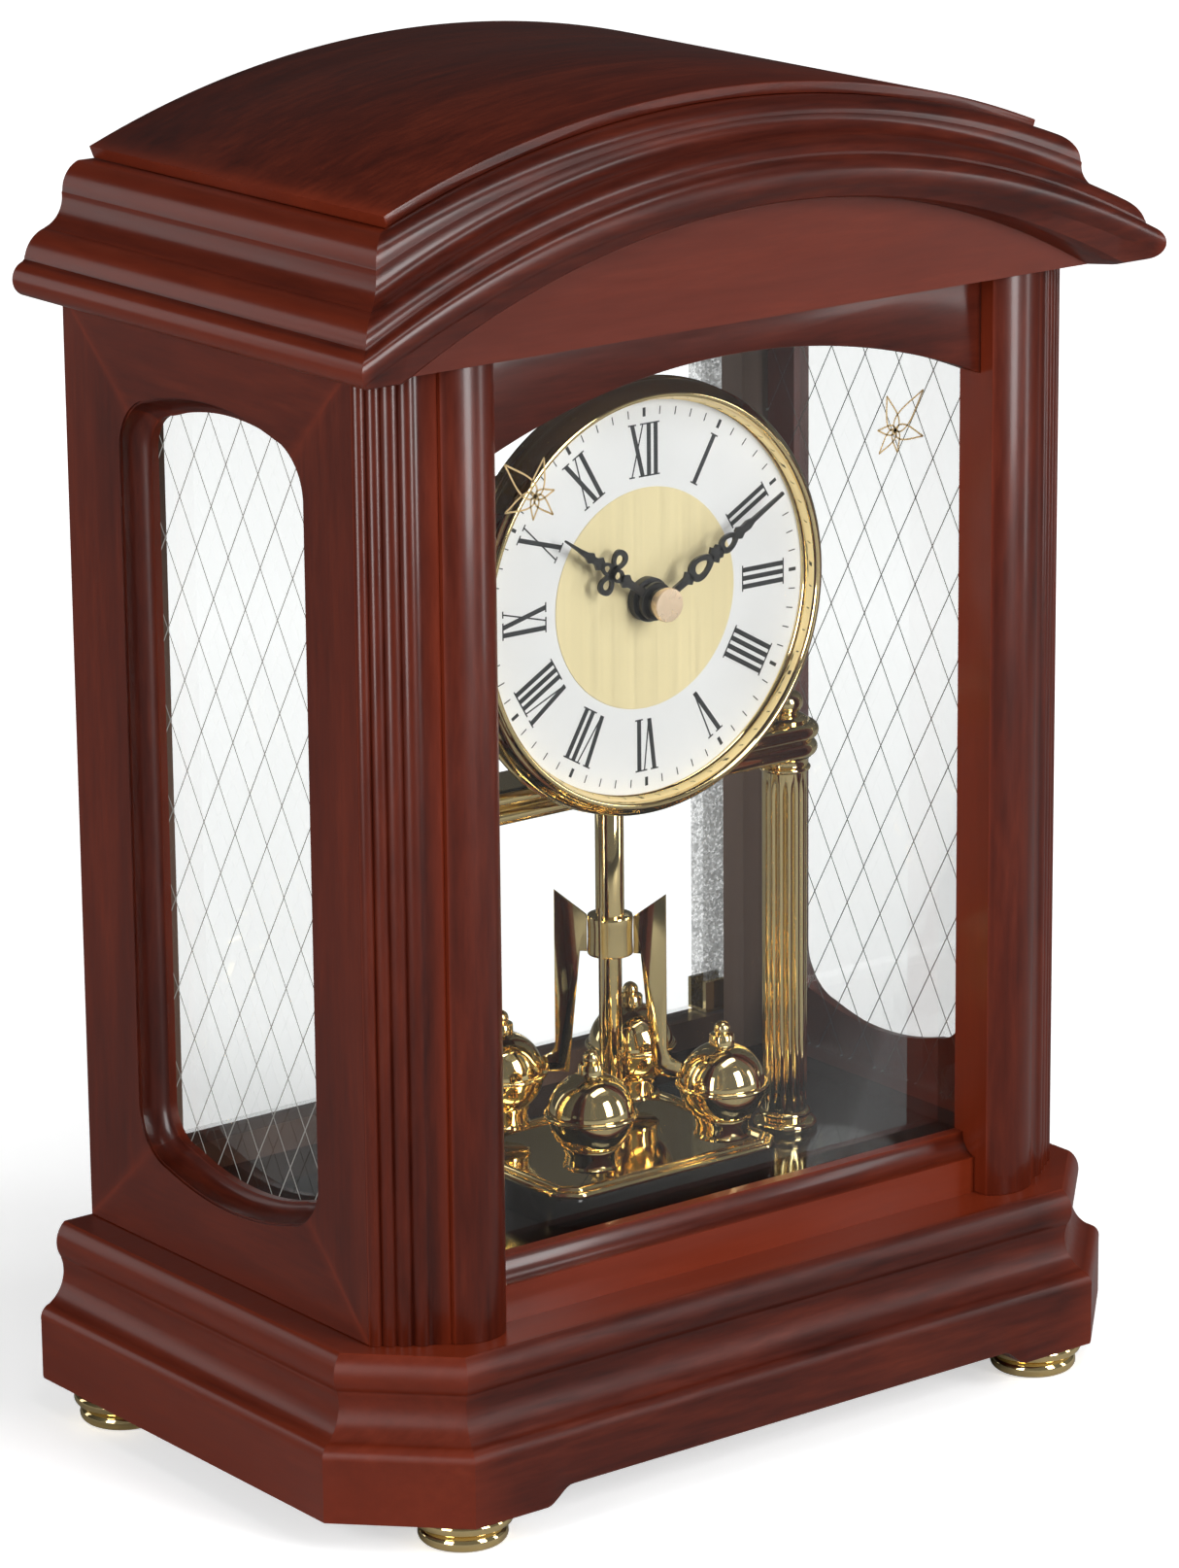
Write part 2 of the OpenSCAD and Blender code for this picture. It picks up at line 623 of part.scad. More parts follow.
module hour_hand() color(ebony) in_dial() rotate([0, 0, -hour_angle]) translate([0, 0, 89.2]) difference() {
    union() {
        cylinder(r = 4.4, h = hand_t);
        translate([-0.9, 3, 0]) cube([1.8, 9, hand_t]);
        flat([[-1, 17.4], [1, 17.4], [0.2, 31.9], [-0.2, 31.9]]);
        lobe(15, 3.6, 1.9);
        for (s = [-1, 1]) translate([0, 15, 0]) rotate([0, 0, 90 * s]) lobe(3.6, 3, 1.7);
    }
    translate([0, 0, -1]) cylinder(r = pipe_r, h = 3);
}

minute_f = 91.2;
module minute_hand() color(ebony) in_dial() rotate([0, 0, -minute_angle]) translate([0, 0, minute_f])
difference() {
    union() {
        cylinder(r = 3.4, h = hand_t);
        translate([-0.8, 2, 0]) cube([1.6, 8, hand_t]);
        lobe(13.5, 4.4, 2.3);
        flat([[-1.2, 17], [1.2, 17], [1.2, 21], [-1.2, 21]]);
        lobe(23, 3.6, 1.9);
        flat([[-0.9, 25.6], [0.9, 25.6], [0.25, 41.8], [-0.25, 41.8]]);
    }
    translate([0, 0, -1]) cylinder(r = arbor_r, h = 3);
}

module hand_nut() color(brass) in_dial() translate([0, 0, 91.2 + hand_t]) difference() {
    union() {
        cylinder(r = 3.4, h = 1.4);
        cylinder(r = 2.6, h = 1.6);
        translate([0, 0, 1.4]) cylinder(r = 4, h = 1.5);
    }
    translate([0, 0, -1]) cylinder(r = arbor_r, h = 94 - 90.9 - hand_t + 0.7);
}

// ---------------------------------------------------------------- revolving pendulum

collar_low = 100.4;
collar_high = 110;
collar_r = 5.7;
module in_pendulum() in_case() translate([0, -pend_f, 0]) rotate([0, 0, arm_angle]) children();

module pendulum_stem() color(brass) in_pendulum() rotate_extrude()
    polygon([[0, 62], [1.8, 62], [2.2, 64], [2.2, collar_low],
             [collar_r, collar_low], [collar_r, collar_high],
             [3.45, collar_high], [3.45, bar_z - 0.3], [spindle_r, bar_z - 0.3],
             [spindle_r, bar_z + bar_h + 0.1], [3.4, bar_z + bar_h + 0.1],
             [3.4, bar_z + bar_h + 2], [0, bar_z + bar_h + 2]]);

// One blade: a slanted strip from the collar down to its ball
ball_z = 69.4;
blade_t = 0.8;
blade_reach = ball_orbit - ball_r + 0.2;
module blade() rotate([90, 0, 0]) translate([0, 0, -blade_t / 2]) linear_extrude(blade_t)
    polygon([[13.4, 115.4], [collar_r, collar_high - 0.3], [collar_r, collar_low], [7.5, collar_low],
             [10.4, ball_z + 1], [blade_reach - 0.05, ball_z + 1],
             [blade_reach + 0.45, ball_z + 4.4], [13.4, ball_z + 5.4]]);
module pendulum_blades() color(brass) in_pendulum() for (a = [0:90:270]) rotate([0, 0, a]) blade();

module ball() rotate_extrude() polygon(concat([[0, -12.8], [6.6, -12.8], [6.8, -12.2]],
    [for (i = [0:10]) let (t = -48 + 4.3 * i) ball_r * [cos(t), sin(t)]],
    [[ball_r + 1.1, -0.5], [ball_r + 1.1, 0.5]],
    [for (i = [0:12]) let (t = 5 + 5.6 * i) ball_r * [cos(t), sin(t)]],
    [[2.95, ball_r], [2.95, 12.4], [1.7, 12.6]], arc([1.6, 12.8], [0.5, 15.6], -0.6, 6), [[0, 15.7]]));
module pendulum_balls() color(brass) in_pendulum() for (a = [0:90:270]) rotate([0, 0, a])
    translate([ball_orbit, 0, ball_z]) ball();

feet();
base_board();
base_front_moulding();
base_corner_mouldings();
base_side_mouldings();
case_floor();
side_frame_left();
side_frame_right();
side_glass_left();
side_glass_right();
pilaster_left();
pilaster_right();
column_left();
column_right();
front_header();
front_rail();
front_glass();
glass_clips();
ceiling_board();
back_rail();
back_top_rail();
back_stiles();
fascia();
crown_front_moulding();
crown_side_mouldings();
crown_back();
crown_top();
hinge_bushes();
catch_magnet();
insert_plinth();
base_plate();
insert_column_left();
insert_column_right();
crossbar();
finials();
dial_can();
bezel();
dial_plate();
dial_centre();
movement_case();
movement_back();
battery();
circuit_board();
drive_coil();
mounting_nut();
door_glass();
hinge_clamps();
hinge_pins();
door_knob();
catch_plate();
centre_arbor();
minute_hand();
hand_nut();
hour_wheel();
hour_hand();
setting_wheel();
set_knob();
pendulum_stem();
pendulum_blades();
pendulum_balls();
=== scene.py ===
"""Mantel clock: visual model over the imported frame.

Sizes below are millimetres in the case's own frame: X to the right, Y back from the front, Z up,
with Y = 0 at the back of the case and Z = 0 at the foot of the base moulding.
"""
import math

import bmesh
import bpy
import numpy as np
from mathutils import Matrix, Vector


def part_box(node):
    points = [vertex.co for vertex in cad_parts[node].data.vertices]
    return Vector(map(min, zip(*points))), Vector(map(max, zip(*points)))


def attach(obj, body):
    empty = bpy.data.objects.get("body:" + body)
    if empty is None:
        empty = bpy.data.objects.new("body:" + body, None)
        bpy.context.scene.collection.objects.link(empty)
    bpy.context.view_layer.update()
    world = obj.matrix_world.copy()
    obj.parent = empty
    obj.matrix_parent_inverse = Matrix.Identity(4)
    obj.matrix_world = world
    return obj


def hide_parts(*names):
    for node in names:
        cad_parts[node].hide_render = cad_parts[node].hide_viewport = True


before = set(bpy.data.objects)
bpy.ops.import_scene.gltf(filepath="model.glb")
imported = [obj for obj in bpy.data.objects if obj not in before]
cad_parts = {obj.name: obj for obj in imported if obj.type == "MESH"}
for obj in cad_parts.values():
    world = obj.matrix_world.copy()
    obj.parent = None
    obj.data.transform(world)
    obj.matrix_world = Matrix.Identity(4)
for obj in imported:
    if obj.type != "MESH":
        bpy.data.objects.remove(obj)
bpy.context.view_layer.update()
scene = bpy.context.scene
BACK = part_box("base_side_mouldings")[1][1]
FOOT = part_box("base_side_mouldings")[0][2]


# ---- Camera, floor and light: a white studio with soft panels at the left, front, right, rear and top
def turned(azimuth, elevation, roll):
    """Camera axes back = (sin a cos e, -cos a cos e, sin e), with right and up turned by roll."""
    a, e, r = (math.radians(v) for v in (azimuth, elevation, roll))
    back = np.array([math.sin(a) * math.cos(e), -math.cos(a) * math.cos(e), math.sin(e)])
    right = np.cross(-back, [0, 0, 1])
    right /= np.linalg.norm(right)
    up = np.cross(right, -back)
    return np.array([math.cos(r) * right + math.sin(r) * up, -math.sin(r) * right + math.cos(r) * up, back]).T


lens = bpy.data.cameras.new("camera")
lens.sensor_fit = "VERTICAL"
lens.sensor_height = 24
lens.lens = 6427 / 1614 * 24
lens.clip_end = 50
camera = bpy.data.objects.new("camera", lens)
scene.collection.objects.link(camera)
axes = np.eye(4)
axes[:3, :3] = turned(-37.537, 15.784, -0.539)
axes[:3, 3] = np.array([-859.8, -1182.9, 539.0]) * 0.001 + (0, BACK, FOOT)
camera.matrix_world = Matrix(axes.tolist())
scene.camera = camera
scene.view_settings.view_transform = "Standard"


def shader(name):
    """A new material with its tree, its Principled node and a maker that adds and links nodes."""
    mat = bpy.data.materials.new(name)
    mat.use_nodes = True
    tree = mat.node_tree
    base = tree.nodes["Principled BSDF"]

    def add(kind, inputs=(), **settings):
        node = tree.nodes.new("ShaderNode" + kind)
        for key, value in settings.items():
            setattr(node, key, value)
        for key, value in dict(inputs).items():
            if isinstance(value, bpy.types.NodeSocket):
                tree.links.new(value, node.inputs[key])
            else:
                node.inputs[key].default_value = value
        return node

    return mat, tree, base, add


def lamp(name, size, power, place, aim, colour=(1, 1, 1)):
    light = bpy.data.lights.new(name, "AREA")
    light.shape = "RECTANGLE"
    light.size, light.size_y = size
    light.energy = power
    light.color = colour
    ob = bpy.data.objects.new(name, light)
    scene.collection.objects.link(ob)
    z = np.array(place, float) - aim
    z /= np.linalg.norm(z)
    x = np.cross([0, 0, 1], z)
    x /= np.linalg.norm(x)
    m = np.eye(4)
    m[:3, :3] = np.array([x, np.cross(z, x), z]).T
    m[:3, 3] = place
    ob.matrix_world = Matrix(m.tolist())


lamp("key", (0.55, 1.0), 18, (-1.5, -0.5, 0.42), (0, 0, 0.16))
lamp("front", (0.5, 1.1), 24, (0.35, -1.6, 0.75), (0, 0, 0.16))
lamp("top", (0.9, 0.25), 4.5, (0.1, -0.45, 1.35), (0, 0, 0.2))
lamp("right", (0.25, 0.9), 4, (1.2, -1.0, 0.35), (0, 0, 0.16))
lamp("rear", (0.3, 0.9), 1.5, (-0.9, 1.3, 0.5), (0, 0, 0.16))

world = bpy.data.worlds.new("studio")
scene.world = world
world.use_nodes = True
wt = world.node_tree
wt.nodes.clear()
w_out = wt.nodes.new("ShaderNodeOutputWorld")
w_mix = wt.nodes.new("ShaderNodeMixShader")
w_path = wt.nodes.new("ShaderNodeLightPath")
w_seen = wt.nodes.new("ShaderNodeBackground")
w_seen.inputs[0].default_value = (1, 1, 1, 1)
w_lit = wt.nodes.new("ShaderNodeBackground")
w_coord = wt.nodes.new("ShaderNodeTexCoord")
w_split = wt.nodes.new("ShaderNodeSeparateXYZ")
w_add = wt.nodes.new("ShaderNodeMath")
w_ramp = wt.nodes.new("ShaderNodeValToRGB")
wt.links.new(w_coord.outputs["Generated"], w_split.inputs[0])
w_add.operation = "MULTIPLY_ADD"
w_add.inputs[1].default_value = 0.5
w_add.inputs[2].default_value = 0.5
wt.links.new(w_split.outputs["Y"], w_add.inputs[0])
wt.links.new(w_add.outputs[0], w_ramp.inputs[0])
stops = w_ramp.color_ramp.elements
for place, value in ((0.0, 0.15), (0.35, 0.16), (0.6, 0.08), (0.8, 0.05), (1.0, 0.05)):
    stop = {0.0: stops[0], 1.0: stops[-1]}[place] if place in (0.0, 1.0) else stops.new(place)
    stop.position = place
    stop.color = (value, value, value, 1)
wt.links.new(w_ramp.outputs[0], w_lit.inputs[0])
wt.links.new(w_path.outputs["Is Camera Ray"], w_mix.inputs[0])
wt.links.new(w_lit.outputs[0], w_mix.inputs[1])
wt.links.new(w_seen.outputs[0], w_mix.inputs[2])
wt.links.new(w_mix.outputs[0], w_out.inputs[0])

# Seen by the camera, the floor is pale and glows, less near the clock and fully white further out, so the
# backdrop reads white: painted light, not a lamp. To other rays it is a plain mid grey.
floor_mat, tree, base, add = shader("studio_floor")
base.inputs["Roughness"].default_value = 0.8
base.inputs["Specular IOR Level"].default_value = 0.0
base.inputs["Emission Color"].default_value = (1, 1, 1, 1)
seen = add("LightPath").outputs["Is Camera Ray"]
pale = add("MixRGB", {"Fac": seen, "Color1": (0.36, 0.36, 0.36, 1), "Color2": (0.9, 0.9, 0.9, 1)})
tree.links.new(pale.outputs[0], base.inputs["Base Color"])
away = add("VectorMath", {0: add("TexCoord").outputs["Object"]}, operation="LENGTH")
lift = add("MapRange", {"Value": away.outputs["Value"], "From Min": 0.12, "From Max": 0.75, "To Min": 0.52,
                        "To Max": 1.0})
glow = add("Math", {0: lift.outputs[0], 1: seen}, operation="MULTIPLY")
tree.links.new(glow.outputs[0], base.inputs["Emission Strength"])
floor = bpy.data.objects.new("floor", bpy.data.meshes.new("floor"))
floor.data.from_pydata([(-6, -6, 0), (6, -6, 0), (6, 6, 0), (-6, 6, 0)], [], [(0, 1, 2, 3)])
floor.data.materials.append(floor_mat)
scene.collection.objects.link(floor)


# ---- Wood of the case: red-brown stained hardwood under a satin lacquer. The grain runs along each
# ---- member, sharp arrises carry a painted highlight, hollows carry painted shade, and fine pores break up
# the shine.
def wood(name, along, deep=(0.026, 0.0026, 0.0008), mid=(0.060, 0.0068, 0.0021), pale=(0.110, 0.0150, 0.0046),
         shift=0.0, gloss=0.30):
    mat, tree, base, add = shader(name)
    coord = add("TexCoord").outputs["Object"]
    stretch = [9.0, 9.0, 9.0]
    stretch["xyz".index(along)] = 1.0
    place = add("Mapping", {"Vector": coord, "Scale": stretch, "Location": (shift, shift * 1.7, shift * 0.6)})
    wide = add("TexNoise", {"Vector": place.outputs[0], "Scale": 7.0, "Detail": 4.0, "Roughness": 0.55,
                            "Distortion": 0.7})
    fine = add("TexNoise", {"Vector": place.outputs[0], "Scale": 55.0, "Detail": 5.0, "Roughness": 0.65})
    pore = add("TexNoise", {"Vector": place.outputs[0], "Scale": 210.0, "Detail": 2.0, "Roughness": 0.5})
    part = add("Math", {0: fine.outputs["Fac"], 1: 0.45}, operation="MULTIPLY")
    both = add("Math", {0: wide.outputs["Fac"], 1: 0.6, 2: part.outputs[0]}, operation="MULTIPLY_ADD")
    ramp = add("ValToRGB", {"Fac": both.outputs[0]})
    ramp.color_ramp.elements[0].position = 0.36
    ramp.color_ramp.elements[0].color = (*deep, 1)
    ramp.color_ramp.elements[1].position = 0.72
    ramp.color_ramp.elements[1].color = (*pale, 1)
    middle = ramp.color_ramp.elements.new(0.53)
    middle.color = (*mid, 1)
    dots = add("MapRange", {"Value": pore.outputs["Fac"], "From Min": 0.56, "From Max": 0.70, "To Min": 0.0,
                            "To Max": 0.22})
    grained = add("MixRGB", {"Fac": dots.outputs[0], "Color1": ramp.outputs[0], "Color2": (*deep, 1)})
    shape = add("NewGeometry")
    # Sharp convex arrises, found by pointiness, are mixed towards a lighter, redder tone: a painted highlight
    # along the edges.
    edge_highlight = add("MapRange", {"Value": shape.outputs["Pointiness"], "From Min": 0.53, "From Max": 0.62,
                              "To Min": 0.0, "To Max": 0.55})
    edge_highlighted = add("MixRGB", {"Fac": edge_highlight.outputs[0], "Color1": grained.outputs[0],
                          "Color2": (pale[0] * 1.9, pale[1] * 1.7, pale[2] * 1.5, 1)})
    # Concave spots, found by pointiness, are darkened towards black: painted shade in the hollows.
    hollow_shade = add("MapRange", {"Value": shape.outputs["Pointiness"], "From Min": 0.40, "From Max": 0.485,
                              "To Min": 0.8, "To Max": 0.0})
    hollow_shaded = add("MixRGB", {"Fac": hollow_shade.outputs[0], "Color1": edge_highlighted.outputs[0],
                            "Color2": (*[c * 0.35 for c in deep], 1)})
    tree.links.new(hollow_shaded.outputs[0], base.inputs["Base Color"])
    rough = add("MapRange", {"Value": fine.outputs["Fac"], "To Min": gloss - 0.05, "To Max": gloss + 0.12})
    tree.links.new(rough.outputs[0], base.inputs["Roughness"])
    bump = add("Bump", {"Height": both.outputs[0], "Strength": 0.06, "Distance": 0.0005})
    tree.links.new(bump.outputs[0], base.inputs["Normal"])
    base.inputs["Coat Weight"].default_value = 0.22
    base.inputs["Coat Roughness"].default_value = 0.14
    base.inputs["Specular IOR Level"].default_value = 0.28
    return mat


wood_x = wood("wood_across", "x")
wood_y = wood("wood_deep", "y", shift=3.1)
wood_z = wood("wood_upright", "z", shift=5.7)
wood_top = wood("wood_top", "x", shift=9.4, gloss=0.36)
wood_dark = wood("wood_inside", "x", (0.022, 0.012, 0.009), (0.045, 0.024, 0.017), (0.07, 0.04, 0.028),
                 2.2, 0.5)
wood_post = wood("wood_inside_upright", "z", (0.05, 0.033, 0.028), (0.085, 0.058, 0.05),
                 (0.12, 0.085, 0.07), 1.3, 0.5)


def arc(p, q, s, n=10):
    """Circle through p and q standing s proud to the left of p-q: m +- r (u sin t + v cos t)."""
    p, q = np.array(p, float), np.array(q, float)
    c, h = np.linalg.norm(q - p), abs(s)
    r = (c * c / 4 + h * h) / (2 * h)
    u = (q - p) / c
    v = np.array([-u[1], u[0]]) * np.sign(s)
    t = math.asin(min(1, c / (2 * r))) * np.linspace(-1, 1, n + 1)
    return (p + q) / 2 - v * (r - h) + r * (np.outer(np.sin(t), u) + np.outer(np.cos(t), v))


def run(*parts):
    """One list of points from points and stretches of points."""
    return np.vstack([np.atleast_2d(np.array(p, float)) for p in parts])


def loft(rings, closed=True, caps=True):
    """Skin through rings[k][i]: quads (k, i)-(k, i+1)-(k+1, i+1)-(k+1, i), ends capped."""
    rings = np.asarray(rings, float)
    m, n = rings.shape[:2]
    k, i = np.meshgrid(np.arange(m - 1), np.arange(n if closed else n - 1), indexing="ij")
    k, i = k.ravel(), i.ravel()
    j = (i + 1) % n
    faces = np.stack([k * n + i, k * n + j, (k + 1) * n + j, (k + 1) * n + i], 1).tolist()
    if caps:
        faces += [list(range(n - 1, -1, -1)), [(m - 1) * n + a for a in range(n)]]
    return rings.reshape(-1, 3), faces


def lathe(profile, at, seg=72, dial=False):
    """Profile (r, h) turned about the vertical through at, or about the dial's axis."""
    profile = np.asarray(profile, float)
    t = np.linspace(0, 2 * math.pi, seg, endpoint=False)
    x = np.outer(profile[:, 0], np.cos(t)) + at[0]
    y = np.outer(profile[:, 0], np.sin(t)) + at[1]
    z = np.repeat(profile[:, 1:2], seg, 1) + at[2]
    rings = np.stack([x, y, z], 2)
    if dial:
        rings = rings[:, :, [0, 2, 1]] * (1, -1, 1)
    return loft(rings, caps=False)


def inset(outline, d):
    """Closed outline moved d inwards along its mitred normals, whichever way round it runs."""
    o = np.asarray(outline, float)
    a, b = o - np.roll(o, 1, 0), np.roll(o, -1, 0) - o
    a /= np.maximum(np.linalg.norm(a, axis=1, keepdims=True), 1e-9)
    b /= np.maximum(np.linalg.norm(b, axis=1, keepdims=True), 1e-9)
    n = np.stack([-a[:, 1] - b[:, 1], a[:, 0] + b[:, 0]], 1)
    n /= np.maximum((n ** 2).sum(1, keepdims=True) / 2, 0.35)
    area = np.sum(o[:, 0] * np.roll(o[:, 1], -1) - np.roll(o[:, 0], -1) * o[:, 1])
    return o + n * d * np.sign(area)


def prism(outline, low, high, edge=0.3, axis="z"):
    """Outline from low to high along an axis, with its two rims rounded by edge."""
    rings = []
    for h, d in ((low, edge), (low + edge * 0.3, edge * 0.3), (low + edge, 0), (high - edge, 0),
                 (high - edge * 0.3, edge * 0.3), (high, edge)):
        o = inset(outline, d) if d else np.asarray(outline, float)
        flat = np.full(len(o), float(h))
        rings.append(np.stack([o[:, 0], o[:, 1], flat] if axis == "z" else
                              [o[:, 0], flat, o[:, 1]] if axis == "y" else [flat, o[:, 0], o[:, 1]], 1))
    return loft(rings)


def mirrored(part):
    v, f = part
    return v * (-1, 1, 1), [list(reversed(a)) for a in f]


def together(*parts):
    """Several (points, faces) as one."""
    points, faces, start = [], [], 0
    for v, f in parts:
        points.append(np.asarray(v, float))
        faces += [[a + start for a in face] for face in f]
        start += len(v)
    return np.vstack(points), faces


def piece(name, part, mat, body, nodes=(), sharp=35):
    """Makes the object in metres in the row frame, rides it and hides the imported nodes it replaces."""
    me = bpy.data.meshes.new(name)
    me.from_pydata((part[0] * 0.001 + (0, BACK, FOOT)).tolist(), [], part[1])
    bm = bmesh.new()
    bm.from_mesh(me)
    bmesh.ops.remove_doubles(bm, verts=bm.verts, dist=1e-6)
    bmesh.ops.recalc_face_normals(bm, faces=bm.faces)
    bm.to_mesh(me)
    bm.free()
    me.polygons.foreach_set("use_smooth", [True] * len(me.polygons))
    me.set_sharp_from_angle(angle=math.radians(sharp))
    me.materials.append(mat)
    ob = bpy.data.objects.new(name, me)
    scene.collection.objects.link(ob)
    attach(ob, body)
    if nodes:
        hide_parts(*nodes)
    return ob


def finish_node(name, mat):
    """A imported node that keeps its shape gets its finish."""
    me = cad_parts[name].data
    me.materials.clear()
    me.materials.append(mat)


# ---- Base moulding: five mitred lengths round the front, the canted corners and the sides. The face
# ---- has a plain plinth, a roll, a deep cove and a bead, and the front skirt is cut away between feet.
base_step, base_h, core_in = 6.6, 38.3, 2.0
bt_w, bt_d = 116.5 - base_step, 139.7 - base_step
bt_k = bt_w + bt_d - 20.5
base_section = run([(base_step - 0.9, 0), (base_step - 0.2, 0.3), (base_step, 1.0)],
                   arc((base_step, 14.9), (base_step - 2.2, 18.6), -0.8, 10),
                   arc((base_step - 2.5, 18.7), (0.4, 29.3), 2, 18), [(0.4, 29.5)],
                   arc((0.55, 29.8), (-0.5, base_h - 0.3), -1.5, 14),
                   [(-0.9, base_h), (-core_in, base_h), (-core_in, 0)])


def base_ring(kind, t=0.0):
    """Section points at a plan corner, or at a share t (-1 to 1) of the front, lifted by the skirt cut."""
    s, z = base_section[:, 0], base_section[:, 1].copy()
    k = bt_k + s * math.sqrt(2)
    if kind == "back":
        return np.stack([bt_w + s, 0 * s, z], 1)
    if kind == "side":
        return np.stack([bt_w + s, -(k - bt_w - s), z], 1)
    x = t * (k - bt_d - s)
    share = np.clip((71.9 - np.abs(x)) / 7.2, 0, 1)
    lift = 4.1 * (share ** 2 * (3 - 2 * share))
    z = np.where(z < 14.9, z + lift * (1 - z / 14.9), z)
    return np.stack([x, -(bt_d + s), z], 1)


skirt = np.concatenate([[1.0, 0.88], np.linspace(0.80, 0.68, 13), np.linspace(0.6, 0, 5)])
skirt = np.concatenate([skirt, -skirt[-2::-1]])
piece("base_front", loft([base_ring("front", t) for t in skirt]), wood_x, "case",
      ["base_front_moulding"], 28)
corner = loft([base_ring("front", 1.0), base_ring("side")])
piece("base_corners", together(corner, mirrored(corner)), wood_x, "case",
      ["base_corner_mouldings"], 28)
side = loft([base_ring("side"), base_ring("back")])
piece("base_sides", together(side, mirrored(side)), wood_y, "case", ["base_side_mouldings"], 28)
finish_node("base_board", wood_x)

# ---- Feet: turned brass buns, a narrow bead under a broad one
foot = run([(0, -7.7), (8.2, -7.7)], arc((8.6, -7.6), (8.9, -3.7), -1.6, 12), [(9.6, -3.5)],
           arc((10, -3.35), (10, 0), -1.66, 14), [(0, 0)])


def metal(name, colour, rough, streak=None, fine=900.0, depth=0.02):
    """Gilt or plain metal with faint smears, or brushed along one axis."""
    mat, tree, base, add = shader(name)
    coord = add("TexCoord").outputs["Object"]
    scale = [1.0, 1.0, 1.0]
    if streak:
        scale = [14.0, 14.0, 14.0]
        scale["xyz".index(streak)] = 0.25
    place = add("Mapping", {"Vector": coord, "Scale": scale})
    smear = add("TexNoise", {"Vector": place.outputs[0], "Scale": 60.0, "Detail": 4.0})
    grain = add("TexNoise", {"Vector": place.outputs[0], "Scale": fine, "Detail": 2.0})
    tone = add("MixRGB", {"Fac": smear.outputs["Fac"], "Color1": (*[c * 0.93 for c in colour], 1),
                          "Color2": (*[min(1, c * 1.05) for c in colour], 1)})
    tree.links.new(tone.outputs[0], base.inputs["Base Color"])
    sheen = add("MapRange", {"Value": smear.outputs["Fac"], "From Min": 0.3, "From Max": 0.7,
                             "To Min": rough * 0.75, "To Max": rough * 1.35})
    tree.links.new(sheen.outputs[0], base.inputs["Roughness"])
    bump = add("Bump", {"Height": grain.outputs["Fac"], "Strength": depth, "Distance": 0.0002})
    tree.links.new(bump.outputs[0], base.inputs["Normal"])
    base.inputs["Metallic"].default_value = 1.0
    return mat


brass = metal("gilt_brass", (0.96, 0.75, 0.37), 0.06, fine=300.0, depth=0.01)
piece("feet_turned", together(*[lathe(foot, (x, y, 0), 56) for x, y in
                                ((-85.7, -126), (85.7, -126), (-104.4, -16), (104.4, -16))]),
      brass, "case", ["feet"])

# ---- Side frames: four members each, mitred at the corners, with a rounded reveal down to the pane
half_body, inner_x, soffit = 101.4, 93.4, 261.3
side_front, header_front, open_hw, column_out = -113.0, -120.4, 71.5, 86.0
win_y, win_z, win_hw, win_hh = -58.2, (base_h + soffit) / 2, 32.15, 91.0


def window(grow):
    """Quarter of a bowed opening with round corners, mirrored to four: 4 x 40 points from the right."""
    w, h, bow, r = win_hw + grow, win_hh + grow, 4.6, 9 + grow / 2
    side_part = np.stack([np.full(10, w), np.linspace(0, h - bow - r, 10)], 1)
    bend = arc((w, h - bow - r), (w - r, h - bow + 0.9), -2.8, 14)
    top = arc((w - r, h - bow + 0.9), (r - w, h - bow + 0.9), 0.9 - bow, 28)[1:15]
    quarter = np.vstack([side_part, bend[1:], top])
    left = (quarter * (-1, 1))[::-1][1:]
    half = np.vstack([quarter, left])
    return np.vstack([half, (half * (1, -1))[::-1][1:-1]])


loops = [(4.0, 0.0), (4.0, 0.5)] + [(3.55 * math.cos(a), 0.55 + 5.6 * math.sin(a))
                                    for a in np.linspace(0, math.pi / 2, 9)] + [(0.0, 8.0)]
n_loop = len(window(0))
outer = window(4.0)
corner_at = [17, n_loop // 2 - 17, n_loop // 2 + 17, n_loop - 17]
box_corner = [(-win_y, soffit - win_z), (side_front - win_y, soffit - win_z),
              (side_front - win_y, base_h - win_z), (-win_y, base_h - win_z)]
stiles, rails = [], []
for c in range(4):
    a, b = corner_at[c], corner_at[(c + 1) % 4]
    index = [k % n_loop for k in range(a, b + 1 if b > a else b + 1 + n_loop)]
    grows = [window(g) for g, d in loops]
    rings = []
    for k in index:
        p = outer[k]
        q0, q1 = np.array(box_corner[c]), np.array(box_corner[(c + 1) % 4])
        line = q1 - q0
        span0, span1 = outer[index[0]], outer[index[-1]]
        t = np.dot(p - span0, line) / np.dot(span1 - span0, line)
        edge = q0 + line * np.clip(t, 0, 1)
        ring = [(half_body - 0.3, *edge), (half_body, *(edge + (p - edge) * 0.012))]
        ring += [(half_body - d, *grows[m][k]) for m, (g, d) in enumerate(loops)]
        ring += [(inner_x, *edge)]
        rings.append(np.array(ring) + (0, win_y, win_z))
    (stiles if c in (1, 3) else rails).append(loft(rings))
for sign, word in ((1, "right"), (-1, "left")):
    up = together(*stiles)
    flat = together(*rails)
    up, flat = (up, flat) if sign == 1 else (mirrored(up), mirrored(flat))
    piece("side_stiles_" + word, up, wood_z, "case", ["side_frame_" + word], 30)
    piece("side_rails_" + word, flat, wood_y, "case", (), 30)

